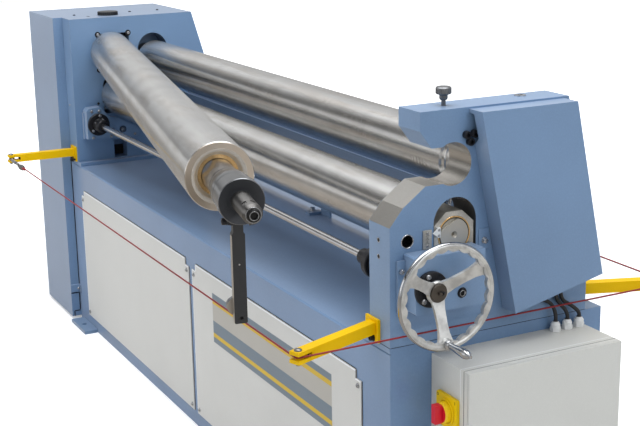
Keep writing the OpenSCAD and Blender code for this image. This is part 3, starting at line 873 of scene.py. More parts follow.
@dataclass(frozen=True)
class Metal(Finish):
    """Bare, ground or plated metal with a fine mottle and scratches.

    Attributes:
        mottle: how far the tone wanders.
        scratch: scratches in a metre.
        drawn: factors on x, y and z that draw the scratches out.
        depth: depth of the scratches in millimetres.
        bare: metallic share.
        clouds: patches of tone in a metre.
    """

    mottle: float = 0.12
    scratch: float = 260
    drawn: Point = (1, 1, 1)
    depth: float = 0.02
    bare: float = 1.0
    clouds: float = 24

    def build(self, g: Graph) -> None:
        """Mottled colour, uneven roughness and scratches.

        Args:
            g: the material's graph.
        """
        dark, light = linear(self.colour, 1 - 2 * self.mottle), linear(self.colour, 1 + self.mottle)
        patch = g.ramp(g.noise(self.clouds, 4, seed=3.0), 0.35, 0.65)
        lines = g.noise(self.scratch, 3, self.drawn, seed=4.0)
        share = g.math("MULTIPLY", patch, g.ramp(lines, 0.3, 0.6, 0.4, 1.0))
        g.set(Base_Color=g.mix(share, dark, light), Metallic=self.bare,
              Roughness=g.ramp(lines, 0.3, 0.7, self.rough * 0.75, self.rough * 1.25),
              Normal=g.relief(lines, self.depth))


@dataclass(frozen=True)
class RollSteel(Finish):
    """Ground roll: grinding marks round it, faint long streaks, part staining and part painted
    reflection, and slightly worn bands.

    Attributes:
        shaft: the line that it turns about.
        tint: colour of the faint warm streaks, part staining and part painted reflection.
        stretch: anisotropy of the gloss, drawn out along the roll.
        zones: gives each zone's mask and skin.
        marks: grinding marks in a millimetre.
        bands: worn bands in a millimetre.
        stains_and_reflections: streaks in a metre, part staining and part painted reflection.
        groove: depth of the grinding marks in millimetres.
    """

    shaft: Shaft = Shaft("top_roll_spin")
    tint: Rgb = (160, 150, 138)
    stretch: float = 0.85
    zones: Optional[Masks] = None
    marks: float = 0.42
    bands: float = 0.012
    stains_and_reflections: float = 7
    groove: float = 0.0025

    @staticmethod
    def along_noise(g: Graph, along: Socket, scale: float, detail: float) -> Socket:
        """Noise that changes only along the roll.

        Args:
            g: the material's graph.
            along: the distance along the roll in millimetres.
            scale: waves in a millimetre.
            detail: octaves.

        Returns:
            The noise, about 0.3 to 0.7.
        """
        n = g.node("ShaderNodeTexNoise", noise_dimensions="1D")
        n.inputs["Scale"].default_value = scale
        n.inputs["Detail"].default_value = detail
        g.put(along, n.inputs["W"])
        return n.outputs["Fac"]

    def build(self, g: Graph) -> None:
        """Marks from the distance along the roll, streaks from noise drawn out along it.

        Args:
            g: the material's graph.
        """
        way = self.shaft.way
        along, _ = g.about(self.shaft.start, way)
        share = np.select([np.abs(way) > 0.9, np.abs(way) > 0.15], [0.012, 0.25], 1.0)
        marks = self.along_noise(g, along, self.marks, 4.0)
        bands = self.along_noise(g, along, self.bands, 3.0)
        # Long streaks along the roll in a darker warm tint: part staining, part painted reflection
        # of the surroundings.
        spread = g.noise(self.stains_and_reflections, 4, tuple(share * 6 + 0.5), seed=6.0)
        stain_and_reflection = g.ramp(spread, 0.42, 0.72, 0, 0.5)
        fine, broad = (g.ramp(noise, 0.3, 0.7, 0.94, 1.03) for noise in (marks, bands))
        tone = g.mix(stain_and_reflection, linear(self.colour), linear(self.tint))
        rough = g.math("ADD", g.ramp(marks, 0.3, 0.7, self.rough - 0.02, self.rough + 0.02),
                       g.ramp(stain_and_reflection, 0, 0.5, 0, 0.05))
        tone, metal, rough = lay_zones(g, self.zones, tone, 1.0, rough)
        value = g.vector("SCALE", tone, (0, 0, 0))
        g.put(g.math("MULTIPLY", fine, broad), value.inputs["Scale"])
        turned_way = g.node("ShaderNodeVectorTransform", vector_type="VECTOR",
                            convert_from="OBJECT", convert_to="WORLD")
        turned_way.inputs[0].default_value = tuple(way + np.array((0, 0.02, 0.03)))
        g.set(Base_Color=value.outputs[0], Metallic=metal, Roughness=rough,
              Anisotropic=self.stretch, Tangent=turned_way.outputs[0],
              Normal=g.relief(marks, self.groove))


@dataclass(frozen=True)
class Zoned(Finish):
    """A finish with other finishes in zones of the same casting.

    Attributes:
        bare: metallic share outside the zones.
        zones: gives each zone's mask and skin.
        spread: how far the tone wanders.
        grain: size of the surface's grain in millimetres.
        depth: its depth in millimetres.
        bloom: weight of the pale veil on faces seen at a low angle.
        clouds: slow changes of tone in a metre.
    """

    bare: float = 0.0
    zones: Optional[Masks] = None
    spread: float = 0.06
    grain: float = 2.4
    depth: float = 0.05
    bloom: float = 0.0
    clouds: float = 5

    def build(self, g: Graph) -> None:
        """A mottled ground with the zones laid over it.

        Args:
            g: the material's graph.
        """
        patch = g.ramp(g.noise(self.clouds, 4, seed=2.0), 0.35, 0.65, 1 - self.spread,
                       1 + self.spread)
        fine = g.noise(1 / MM / self.grain, 2, seed=1.0)
        colour, metal, rough = lay_zones(g, self.zones, linear(self.colour), self.bare, self.rough)
        shade = g.vector("SCALE", colour, (0, 0, 0))
        g.put(g.math("MULTIPLY", patch, g.ramp(fine, 0.3, 0.7, 0.96, 1.04)), shade.inputs["Scale"])
        uneven = g.math("ADD", rough, g.ramp(fine, 0.3, 0.7, -ROUGH_WANDER, ROUGH_WANDER))
        g.set(Base_Color=shade.outputs[0], Metallic=metal, Roughness=uneven,
              Normal=g.relief(fine, self.depth), Sheen_Weight=self.bloom,
              Sheen_Roughness=VEIL_ROUGH, Sheen_Tint=VEIL)


BLUE = Paint("blue_enamel", (108, 137, 171), 0.31, "blue_paint", grain=4, depth=0.014,
             dust=0.035, shine=0.6, bloom=0.25)
# Painted shade: a copy of the blue paint, slightly darker and with little pale veil, so that the
# left frame looks shaded.
SHADED_FRAME_BLUE = Paint("shaded_blue_frame", (104, 134, 169), 0.33, "blue_paint", grain=2.6, depth=0.02,
                   dust=0.03, bloom=0.06)
TABLE_BLUE = Paint("blue_gloss", (104, 134, 170), 0.2, "blue_paint", grain=5, depth=0.02,
                   bloom=0.2)
# Painted highlight: a lighter blue for the corner tab's lit top edges.
BLUE_EDGE_HIGHLIGHT = Paint("blue_edge_highlight", (146, 168, 198), 0.36, "blue_paint", grain=2.6, depth=0.02)
# Painted highlight: near white for the front panels' lit folded edges.
PALE_EDGE_HIGHLIGHT = Paint("pale_edge_highlight", (236, 239, 244), 0.4, "white_panel", spread=0.01, grain=1.6)
PALE = Paint("pale_powder", (203, 203, 200), 0.45, "white_panel", spread=0.02, grain=1.6)
BOX_GREY = Paint("box_grey", (198, 199, 195), 0.42, "grey_enclosure", spread=0.02, grain=1.8,
                 depth=0.04, bloom=0.2)
YELLOW = Paint("safety_yellow", (226, 182, 0), 0.42, "yellow_paint", spread=0.05, grain=2.0,
               dust=0.01, shine=0.12)
SWITCH_YELLOW = Paint("switch_yellow", (236, 198, 0), 0.4, "yellow_plastic", grain=1.0,
                      dust=0.01, shine=0.25)
RED = Paint("switch_red", (206, 22, 42), 0.32, "red_plastic", grain=0.9, depth=0.02)
# Also the painted highlight on the electric box's fold.
WHITE = Paint("gland_white", (224, 226, 226), 0.38, "white_plastic", spread=0.02, grain=1.2)
BLACK_PLASTIC = Paint("moulded_black", (38, 39, 42), 0.42, "black_plastic", grain=0.8, dust=0.02)
RUBBER = Paint("cable_black", (30, 30, 32), 0.5, "black_rubber", grain=0.9, dust=0.02)
# Near black: painted shade in holes, slots, slot ends and gaps between parts, and the real black
# print of the scale's and the switch's marks.
SHADE_AND_PRINT_BLACK = Paint("shade_and_print_black", (14, 14, 16), 0.8, "black_rubber", grain=1.0, dust=0.0)
# Painted shade: the grey strip in the electric box door's gap.
GAP_SHADE = Paint("gap_shade_grey", (118, 119, 118), 0.6, "grey_enclosure", grain=1.0, dust=0.0)
WIRE = Paint("wire_jacket", (132, 18, 26), 0.36, "red_wire", grain=1.2, depth=0.02)
WORN = Metal("block_steel", (196, 194, 188), 0.46, "bare_steel", mottle=0.16, bare=0.7)
BLACK_STEEL = Metal("black_oxide", (44, 45, 49), 0.36, "black_steel", mottle=0.2, bare=0.6)
# Near-black steel for black screws, seats and the hub's key, and painted shade lining the eye's
# hole.
BLACK_STEEL_AND_SHADE = Metal("oiled_steel_and_shade", (26, 26, 28), 0.3, "black_steel", mottle=0.2, bare=0.4)
DULL = Metal("dull_zinc", (132, 131, 128), 0.42, "zinc_steel", mottle=0.15)
ZINC = Metal("zinc_plate", (176, 178, 182), 0.3, "zinc_steel", mottle=0.1)
KNURLED = Metal("knurled_steel", (118, 120, 123), 0.34, "black_steel", mottle=0.2, scratch=1200,
                drawn=(1, 1, 0.03), depth=0.2, bare=0.8)
BRIGHT = Metal("bright_bar", (196, 198, 202), 0.26, "polished_steel", mottle=0.06,
               drawn=(0.1, 1, 1))
CAST = Metal("polished_alloy", (184, 186, 189), 0.13, "polished_steel", mottle=0.05, scratch=120)
BRASS = Metal("bush_brass", (230, 192, 136), 0.24, "brass", mottle=0.02, scratch=900,
              depth=0.003)


def build_piece(name: str, shells: Sequence[Shell], finish: Finish,
                body: str = "machine") -> None:
    """One piece made of closed shells, dressed and riding on a body.

    Args:
        name: the piece's name.
        shells: its closed surfaces, in metres in the row frame.
        finish: its finish.
        body: the CAD body that it rides on.
    """
    counts = np.cumsum([0] + [len(s.points) for s in shells])
    points = np.concatenate([s.points for s in shells])
    faces = [tuple(int(i + start) for i in f) for s, start in zip(shells, counts) for f in s.faces]
    mesh = bpy.data.meshes.new(name)
    mesh.from_pydata(points.tolist(), [], faces)
    work = bmesh.new()
    work.from_mesh(mesh)
    bmesh.ops.remove_doubles(work, verts=work.verts, dist=MERGE_WITHIN)
    bmesh.ops.dissolve_degenerate(work, edges=work.edges, dist=TOO_SHORT)
    bmesh.ops.recalc_face_normals(work, faces=work.faces)
    work.to_mesh(mesh)
    work.free()
    mesh.polygons.foreach_set("use_smooth", [True] * len(mesh.polygons))
    mesh.set_sharp_from_angle(angle=math.radians(SHARP_FROM))
    mesh.materials.append(finish.material())
    piece = bpy.data.objects.new(name, mesh)
    bpy.context.scene.collection.objects.link(piece)
    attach(piece, body)
    log.info("%s: %d faces of %s", name, len(mesh.polygons), finish.name)


# ---------------------------------------------------------------- sub-assemblies
@dataclass
class Base:
    """The welded base, its floor feet, its two front panels and the tie beam.

    Attributes:
        panels: the front panels' nodes, left and right.
        screw_in: distance of a panel screw from the panel's side.
        screw_down: distance of the upper screws below the panel's top.
        screw_up: distance of the lower screws above the panel's foot.
        notch: width of the step in a panel's upper corners.
        drop: depth of that step.
        band: the right panel's painted band, from the panel's left side to its ends.
        levels: its stripes' levels below the panel's top, from the top down.
        panel_screw: a screw of the panels.
        beam_bolt: the tie beam's bolt.
    """

    panels: tuple[str, str] = ("front_panel_left", "front_panel_right")
    screw_in: float = 13
    screw_down: float = 34
    screw_up: float = 15
    notch: float = 25
    drop: float = 20
    band: tuple[float, float] = (146, 856)
    levels: tuple[float, ...] = (51, 69, 82, 132, 168, 180, 196)
    panel_screw: Screw = Screw(Head.PAN, 10, 4, 13)
    beam_bolt: Screw = Screw(Head.HEX, 13, 8, 22)

    def stripes(self, g: Graph) -> Zones:
        """Grey-blue bars with a yellow line each on the right panel.

        Args:
            g: the panel's graph.

        Returns:
            The zones from the lowest layer up.
        """
        top = corner(self.panels[1], (-1, -1, 1))
        x, _, z = g.xyz()
        across = g.between(x, *(top[0] + v * MM for v in self.band))
        a, b, c, d, e, f, h = (top[2] - v * MM for v in self.levels)
        grey, blue, gold = (Skin(tone, 0.0, 0.4) for tone in
                            ((176, 173, 166), (110, 125, 138), (206, 172, 44)))
        return [(g.both(across, g.between(z, d, c)), grey),
                (g.both(across, g.either(g.between(z, b, a), g.between(z, h, d))), blue),
                (g.both(across, g.either(g.between(z, c, b), g.between(z, f, e))), gold)]

    def painted_panel_edges(self) -> tuple[list[Shell], list[Shell]]:
        """Painted highlights on the folded edges round each panel's top, and painted shadow in the
        gaps by them.

        Returns:
            The painted highlight strips and the painted shadow strips.
        """
        notch, drop = self.notch, self.drop
        edge_highlights: list[Shell] = []
        gaps: list[Shell] = []
        for name in self.panels:
            low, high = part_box(name)
            wide, tall = (high[0] - low[0]) / MM, (high[2] - low[2]) / MM
            top, left, right = (corner(name, (i, -1, 1)) for i in (0, -1, 1))
            proud = (corner("base_body", (0, -1, 0))[1] - top[1]) / MM
            # Near-white strips along the top, the notches and the left side: painted highlight.
            edge_highlights += [block((w, 0.7, h), 0.2).placed(moved(p, x, 0, z), Z) for p, x, z, w, h in (
                (top, 0, -3.4, wide - 2 * notch, 3.2),
                (left, notch / 2, -drop - 3.2, notch - 1, 3),
                (right, -notch / 2, -drop - 3.2, notch - 1, 3),
                (left, notch + 1.6, -drop, 3, drop),
                (left, 1.5, -tall + 3, 2.6, tall - drop - 6))]
            # Near-black strips above the top, at the right notch and beside the right side: painted
            # shadow in the gaps.
            gaps += [block((w, 0.8, h), 0.1).placed(moved(p, x, proud, z), Z) for p, x, z, w, h in (
                (top, 0, 0, wide - 2 * notch, 2.2),
                (right, 1.2 - notch, -drop, 2.4, drop),
                (right, 1.5, -tall, 3, tall - drop))]
        return edge_highlights, gaps

    def build(self) -> None:
        """Dresses the base and adds the panels' screws, painted highlights and shadows at the
        panels' edges, and the beam's bolt.
        """
        TABLE_BLUE.dress("base_body")
        BLUE.dress("floor_feet", "back_sheet")
        PALE.dress(self.panels[0])
        Zoned("striped_panel", PALE.colour, PALE.rough, "white_panel", zones=self.stripes,
              spread=0.02, grain=1.6, depth=0.04).dress(self.panels[1])
        places = [corner(p, (i, -1, k), (-i * self.screw_in, 0,
                                         -self.screw_down if k > 0 else self.screw_up))
                  for p in self.panels for i in (-1, 1) for k in (-1, 1)]
        build_piece("panel_screws", screws(self.panel_screw, places, -Y), ZINC)
        # Light strips of painted highlight and dark strips of painted shadow at the panels' edges.
        edge_highlights, gaps = self.painted_panel_edges()
        build_piece("painted_panel_edges", edge_highlights, PALE_EDGE_HIGHLIGHT)
        build_piece("panel_gap_shade", gaps, SHADE_AND_PRINT_BLACK)
        tab = corner("back_sheet", (0, -1, -1), (-10, 22, 9))
        build_piece("beam_bolt", screws(self.beam_bolt, [tab], Z), ZINC)


@dataclass
class DriveSide:
    """The drive cover, the left frame with its bracket, and the swivel of the top roll.

    Attributes:
        cover: the drive cover's node.
        side: the left frame's node.
        table: height of the base's top above the floor.
        lid: the lid screws' places from the cover's front left upper corner.
        strip_gaps: near-black strips of painted shade in the corner strip's gaps, each by its
            middle behind
        the frame's front, its foot above the floor, its width and its height.
        opening: the opening's screws from its middle, to the rear and up.
        grub_turns: the flange's grub screws, in degrees from straight up.
        grub_out: their distance from the shaft's middle.
        lid_screw: a screw of the lid.
        strip_screw: the screw of the corner strip's tab.
        front_screw: the screw in the frame's front.
        bracket_screw: a screw of the worm bracket.
        flange_screw: a screw of the black flange.
        grub_screw: a grub screw in that flange.
        ledge_button: the low screw on the ledge.
        ledge_cap: the high screw on the ledge.
        opening_screw: a screw of the opening.
    """

    cover: str = "drive_cover"
    side: str = "left_side_frame"
    table: float = 609.3
    lid: tuple[tuple[float, float, float], ...] = ((262, 92, 0), (261, 407, 0), (262, 300, 0))
    strip_gaps: tuple[tuple[float, float, float, float], ...] = (
        (-1.5, 133, 2.6, 465), (-18.7, 97.8, 29.5, 3.4), (-3.2, 33, 3.4, 66),
        (-13.7, 28.5, 20.5, 3.4), (-25, 11, 3.4, 19))
    opening: tuple[tuple[float, float], ...] = ((-56, 62), (56, 62), (-56, -62))
    grub_turns: tuple[float, ...] = (-62, -22, 18, 58)
    grub_out: float = 23
    lid_screw: Screw = Screw(Head.BUTTON, 10, 3)
    strip_screw: Screw = Screw(Head.PAN, 10, 4)
    front_screw: Screw = Screw(Head.PAN, 8, 2.4)
    bracket_screw: Screw = Screw(Head.BUTTON, 11, 5)
    flange_screw: Screw = Screw(Head.SOCKET, 10, 4)
    grub_screw: Screw = Screw(Head.GRUB, 8, 1.4)
    ledge_button: Screw = Screw(Head.BUTTON, 10, 4)
    ledge_cap: Screw = Screw(Head.SOCKET, 13, 7)
    opening_screw: Screw = Screw(Head.SOCKET, 10, 5)

    def build(self) -> None:
        """Dresses the drive side and adds its small parts."""
        BLUE.dress(self.cover, "left_worm_box")
        SHADED_FRAME_BLUE.dress(self.side)
        BLACK_PLASTIC.dress("cover_knob")
        BLACK_STEEL.dress("left_shaft_flange", "swivel_block", "rear_bearing_left")
        WORN.dress("lower_bearing_left")
        self.cover_parts()
        self.strip_parts()
        self.bracket_screws()
        self.ledge_parts()
        self.opening_parts()

    def cover_parts(self) -> None:
        """The lid's screws, and a dark strip of painted shade for its slot."""
        top = corner(self.cover, (-1, -1, 1))
        build_piece("lid_screws", screws(self.lid_screw, spots(top, self.lid), Z),
                    BLACK_STEEL)
        # A near-black strip for the lid's slot: painted shade.
        build_piece("lid_slot_shade", [block((20, 5, 0.5), 0.1).placed(moved(top, 327, 123), Z, 8)],
                    SHADE_AND_PRINT_BLACK)

    def strip_parts(self) -> None:
        """The corner strip's tab, flap and screw, painted highlight on the tab's top, and painted
        shade in its joint's gaps.
        """
        foot = corner(self.side, (-1, -1, -1), (0, 0, -self.table))
        tab = plate([(-16, -15), (16, -15), (16, 14), (-16, 14)], 2.4, 0.5)
        build_piece("corner_tab", [
            tab.placed(moved(foot, 0, -16.5, 118), X),
            block((13, 2, 29), 0.4).placed(moved(foot, 6.5, -1, 102), Z)], BLUE)
        # Lighter blue strips along the tab's top edges: painted highlight.
        build_piece("corner_tab_highlight", [
            block((2.8, 32, 2.8), 0.4).placed(moved(foot, 1.2, -16.5, 130), Z),
            block((13, 2.4, 2.6), 0.4).placed(moved(foot, 6.5, -1, 130), Z)], BLUE_EDGE_HIGHLIGHT)
        # Near-black strips in the joint's gaps and beside the tab: painted shade.
        gaps = [block((1.4, wide, tall), 0.2).placed(moved(foot, 0.1, y, z), Z)
                for y, z, wide, tall in self.strip_gaps]
        gaps.append(block((1.6, 1.4, 30), 0.2).placed(moved(foot, 14, -0.2, 99), Z))
        build_piece("corner_gap_shade", gaps, SHADE_AND_PRINT_BLACK)
        build_piece("corner_screw", screws(self.strip_screw, [moved(foot, 2.4, -5.5, 116)], X),
                    BRIGHT)
        front = corner(self.side, (-1, -1, -1), (28.3, 0, 197.5))
        build_piece("frame_front_screw", screws(self.front_screw, [front], -Y), ZINC)

    def bracket_screws(self) -> None:
        """Screws of the worm bracket and of the black flange in front of it."""
        face = corner("left_worm_box", (1, -1, -1))
        places = spots(face, [(0, 22, 110), (0, 49, 109), (0, 23, 15), (0, 89, 15)])
        build_piece("bracket_screws", screws(self.bracket_screw, places, X), ZINC)
        flange = corner("left_shaft_flange", (-1, 0, 0), (10, 0, 0))
        build_piece("bracket_flange_screws", screws(
            self.flange_screw, spots(flange, [(0, 4, 31), (0, -23, -20), (0, 25, -19)]), X),
            ZINC)
        boss = corner("left_shaft_flange", (-1, 0, 0), (22, 0, 0))
        grubs: list[Shell] = []
        for turn in self.grub_turns:
            out = np.array((0, -math.sin(math.radians(turn)), math.cos(math.radians(turn))))
            place = boss + MM * (self.grub_out * out + X * (turn % 80) * 0.12)
            grubs += self.grub_screw.shells(place, out)
        build_piece("flange_grub_screws", grubs, BRIGHT)

    def ledge_parts(self) -> None:
        """Two screws and a hole's rim on the ledge over the worm box, and painted shade in the
        frame's hole.
        """
        face = corner("left_worm_box", (1, -1, -1))
        build_piece("ledge_screws", self.ledge_button.shells(moved(face, -28, 187, 9), X)
                    + self.ledge_cap.shells(moved(face, -38, 143, 30), X), ZINC)
        build_piece("ledge_hole_rim", [ring(10.6, 12.4, 0.9).placed(moved(face, -28, 143, 30), X)],
                    BLACK_STEEL)
        # A near-black disc in the frame's hole: painted shade.
        build_piece("frame_hole_shade", [disc(4.5, 0.5).placed(moved(face, -44, 63, 128), X)], SHADE_AND_PRINT_BLACK)

    def opening_parts(self) -> None:
        """Screws in the corners of the swivel's opening, and a dark plate of painted shade at the
        window's back.
        """
        middle = corner(self.side, (1, -1, -1), (-7, 154.4, 383.9))
        places = spots(middle, [(0, y, z) for y, z in self.opening])
        build_piece("opening_screws", screws(self.opening_screw, [moved(p, 7.6) for p in places],
                                             X), ZINC)
        seat = turned([(0, 0), (11, 0), (11, 9), (10, 10.2), (0, 10.2)])
        build_piece("opening_screw_seats", [seat.placed(moved(p, -3), X) for p in places],
                    BLACK_STEEL_AND_SHADE)
        # A near-black plate behind the window: painted shade.
        back = corner(self.side, (1, -1, -1), (-49.6, 160.5, 21))
        build_piece("window_back_shade", [plate([(-24, -18), (24, -18), (24, 18), (-24, 18)], 2).placed(
            back, X)], SHADE_AND_PRINT_BLACK)


@dataclass
class WorkHead:
    """The right frame with its open saddle, the gear cover and the small parts on them.

    Places on the frame are measured from its front and from its foot.

    Attributes:
        side: the right frame's node.
        skin: how far inside the plate's two faces the cut faces begin.
        lip_tall: lowest and highest level of the saddle's lip.
        lip_back: the lip's rear end.
        hook_back: the hook's rear end.
        hook_foot: the hook's lowest level.
        pocket_front: where the ground pocket behind the lip begins.
        slot_deep: front and rear of the slots, whose walls are painted dark as shade.
        slot_tall: their lowest and highest level.
        eye: the eye's middle.
        front_holes: levels of the tapped holes in the front edge.
        cluster: the cap screws below the hook.
        worm_circle: radius of the worm flange's screws about the shaft.
        far_circle: the same on the right shaft flange.
        marks: number of marks on the scale.
        mark_step: distance between two of them.
        pointer_up: the pointer's middle above the bearing block's foot.
        top_plug: the plug in the frame's top.
        hook_screw: a cap screw below the hook.
        cover_screw: the screw of the gear cover's tab.
        rear_screw: a screw at the gear cover's rear.
        worm_screw: a screw of the worm box.
        worm_plug: the worm box's plug.
        near_screw: a screw of the worm flange.
        far_screw: a screw of the right shaft flange.
        scale_screw: a screw of the scale.
        pointer_screw: a screw of the pointer.
    """

    side: str = "right_side_frame"
    skin: float = 0.2
    lip_tall: tuple[float, float] = (264.5, 432)
    lip_back: float = 202
    hook_back: float = 118
    hook_foot: float = 421
    pocket_front: float = 126
    slot_deep: tuple[float, float] = (100, 400)
    slot_tall: tuple[float, float] = (90, 330)
    eye: tuple[float, float] = (43, 230.4)
    front_holes: tuple[float, float] = (229.7, 193.7)
    cluster: tuple[tuple[float, float], ...] = ((186, 443.7), (205, 444.7), (195, 428.2))
    worm_circle: float = 30.5
    far_circle: float = 28
    marks: int = 7
    mark_step: float = 2.9
    pointer_up: float = 122.6
    top_plug: Screw = Screw(Head.GRUB, 26, 2)
    hook_screw: Screw = Screw(Head.SOCKET, 17, 11)
    cover_screw: Screw = Screw(Head.HEX, 11, 6, 15)
    rear_screw: Screw = Screw(Head.PAN, 9, 3)
    worm_screw: Screw = Screw(Head.SOCKET, 12, 8)
    worm_plug: Screw = Screw(Head.SOCKET, 19, 5)
    near_screw: Screw = Screw(Head.BUTTON, 12, 4)
    far_screw: Screw = Screw(Head.SOCKET, 9, 4)
    scale_screw: Screw = Screw(Head.PAN, 7, 2.2)
    pointer_screw: Screw = Screw(Head.PAN, 5.5, 2)

    def bare_faces(self, g: Graph) -> Zones:
        """Machined faces of the saddle: everything cut through the plate between its lip and hook;
        slot walls are painted shade.

        Args:
            g: the frame's graph.

        Returns:
            The zones.
        """
        low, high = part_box(self.side)
        x, y, z = g.xyz()
        inside = g.between(x, low[0] + self.skin * MM, high[0] - self.skin * MM)
        tall = g.between(z, *(low[2] + v * MM for v in self.lip_tall))
        front = g.below(y, low[1] + self.lip_back * MM)
        hook = g.both(g.below(y, low[1] + self.hook_back * MM),
                      g.above(z, low[2] + self.hook_foot * MM))
        lip = g.both(inside, tall, front, g.math("SUBTRACT", 1.0, hook))
        pocket = g.both(lip, g.above(y, low[1] + self.pocket_front * MM))
        # The slots' walls are near black: painted shade.
        slots = g.both(inside, g.between(z, *(low[2] + v * MM for v in self.slot_tall)),
                       g.between(y, *(low[1] + v * MM for v in self.slot_deep)),
                       g.math("SUBTRACT", 1.0, lip))
        return [(slots, Skin((52, 56, 62), 0.2, 0.55)), (lip, Skin((150, 149, 146), 1.0, 0.45)),
                (pocket, Skin((168, 165, 160), 1.0, 0.26))]

    def build(self) -> None:
        """Dresses the work head and adds its small parts."""
        Zoned("work_head", BLUE.colour, BLUE.rough, "blue_paint", zones=self.bare_faces,
              grain=4, depth=0.014, bloom=0.16).dress(self.side)
        BLUE.dress("gear_cover", "worm_box")
        KNURLED.dress("clamp_screw")
        BLACK_STEEL.dress("worm_flange", "right_shaft_flange", "rear_bearing_right")
        WORN.dress("lower_bearing_right", "pointer_scale")
        self.frame_parts()
        self.cover_parts()
        self.worm_parts()
        self.scale_parts()
        self.pointer_parts()

    def on_face(self, y: float, z: float, x: float = 0.0) -> Array:
        """A point on the frame's outer face: millimetres behind its front and above its foot."""
        return corner(self.side, (1, -1, -1), (x, y, z))

    def frame_parts(self) -> None:
        """The eye's bush, the front edge's holes, plug, foot gap, cap screws and stop pin, with
        painted shade in the eye, the holes and the foot gap.
        """
        eye = self.on_face(*self.eye)
        build_piece("eye_bush", [ring(13.4, 15.6, 3, bevel=0.8).placed(moved(eye, -2.2), X)],
                    BRIGHT)
        # A near-black lining and cup deep in the eye's hole: painted shade.
        cup = turned([(0, 0), (12.5, 0), (12.5, 1.5), (11, 3), (0, 3)])
        build_piece("eye_shade_liner", [ring(12.3, 13.5, 26).placed(moved(eye, -27), X),
                                  cup.placed(moved(eye, -28), X)], BLACK_STEEL_AND_SHADE)
        front = [corner(self.side, (-1, -1, -1), (40, 0, z)) for z in self.front_holes]
        build_piece("front_hole_rims", [ring(4.2, 5.6, 0.7, 28, 0.2).placed(p, -Y) for p in front],
                    BRIGHT)
        # Near-black discs in the tapped holes: painted shade.
        build_piece("front_holes", [disc(4.4, 0.3, 24).placed(p, -Y) for p in front], SHADE_AND_PRINT_BLACK)
        plug = corner(self.side, (-1, -1, 1), (28, 366, 0))
        build_piece("top_plug", self.top_plug.shells(plug, Z), ZINC)
        low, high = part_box(self.side)
        wide, deep = ((high - low) / MM)[:2]
        # Near-black strips along the frame foot's joint with the base: painted shade.
        foot = [block((1.2, deep - 2, 1.0), 0.2).placed(self.on_face(deep / 2, -0.2), Z),
                block((wide - 1, 1.2, 1.0), 0.2).placed(
                    corner(self.side, (0, -1, -1), (0, 0, -0.2)), Z)]
        build_piece("frame_foot_shade", foot, SHADE_AND_PRINT_BLACK)
        cluster = [self.on_face(y, z) for y, z in self.cluster]
        build_piece("hook_screws", screws(self.hook_screw, cluster, X), BLACK_STEEL)
        stop = turned([(0, 0), (1.6, 0), (3.2, 2.4), (3.2, 14), (5, 14.6), (5, 19), (0, 19)])
        pin = corner("lower_bearing_right", (1, 0, 1), (-9, -4, 14))
        build_piece("stop_pin", [stop.placed(pin, Z)], ZINC)

    def cover_parts(self) -> None:
        """The gear cover's fixing tab with its screw, and the screws at its rear."""
        tab = plate([(-17, -23), (15, -23), (17, -19), (9, 24), (-17, 24)], 2.2, 0.5)
        build_piece("gear_cover_tabs", [tab.placed(self.on_face(238, 209), X)], BLUE)
        build_piece("gear_cover_screws", screws(
            self.cover_screw, [self.on_face(236, 206.7, 2.2)], X), BRIGHT)
        rear = spots(corner("gear_cover", (0, 1, 1)), [(0, -94, -60), (0, -48, -250)])
        build_piece("gear_cover_rear_screws", screws(self.rear_screw, rear, Y), ZINC)

    def worm_parts(self) -> None:
        """Screws of the worm box, its plug, and the screws of the two black flanges."""
        flange = corner("worm_box", (-1, -1, -1), (8, 0, 0))
        places = spots(flange, [(0, 7.5, 96), (0, 7.5, 21)])
        build_piece("worm_box_screws", screws(self.worm_screw, places, X), BRIGHT)
        plug = corner("worm_box", (1, -1, -1), (0, 132.5, 41))
        build_piece("worm_box_plug", self.worm_plug.shells(plug, X, 12)
                    + [ring(9.8, 11.5, 1.2).placed(plug, X)], BLACK_STEEL)
        build_piece("worm_plug_clip", [ring(5.6, 7.0, 0.7).placed(moved(plug, 4.9, -1.5), X),
                                       ring(1.8, 2.8, 0.9).placed(moved(plug, 5, 4.5), X)], ZINC)
        near = bolt_circle(corner("worm_flange", (1, 0, 0)), self.worm_circle, (108, 228, 348))
        build_piece("worm_flange_screws", screws(self.near_screw, near, X), ZINC)
        far = bolt_circle(corner("right_shaft_flange", (-1, 0, 0), (51, 0, 0)), self.far_circle,
                          (60, 180, 300))
        build_piece("far_flange_screws", screws(self.far_screw, far, -X), ZINC)

    def scale_parts(self) -> None:
        """The scale's screws and marks; every third mark is a long one."""
        low = corner("pointer_scale", (1, 0, -1))
        build_piece("scale_screws", screws(
            self.scale_screw, spots(low, [(0, 0, 6.5), (0, 0, 34.5)]), X), ZINC)
        marks = [block((0.3, 9 if i % 3 == 0 else 5, 0.7), 0.05).placed(
            moved(low, 0.1, 0, 11.5 + i * self.mark_step), Z) for i in range(self.marks)]
        build_piece("scale_marks", marks, SHADE_AND_PRINT_BLACK)

    def pointer_parts(self) -> None:
        """The pointer on the bearing block, its screws and the ring round the journal."""
        face, up = corner("lower_bearing_right", (1, -1, -1)), self.pointer_up
        tip = plate([(-11, 0), (4, -11), (9, -11), (9, 11), (4, 11)], 2, 0.5).placed(
            moved(face, 5.2, 3, up), X)
        stem = block((8, 22, 6), 0.6).placed(moved(face, 0, 8, up), X)
        build_piece("pointer", [tip, stem], WHITE, "lower_carriage")
        build_piece("pointer_screws", screws(
            self.pointer_screw, [moved(face, 7.2, 7.5, up + s) for s in (6, -6)], X),
            ZINC, "lower_carriage")
        middle = moved(face, 0, 49.5, 112)
        build_piece("journal_ring", [ring(37.4, 40.6, 1.4, 64).placed(middle, X)], BRASS,
                    "lower_carriage")
        build_piece("journal_seal", [ring(35.4, 37.4, 0.6, 64).placed(middle, X)], RUBBER,
                    "lower_carriage")


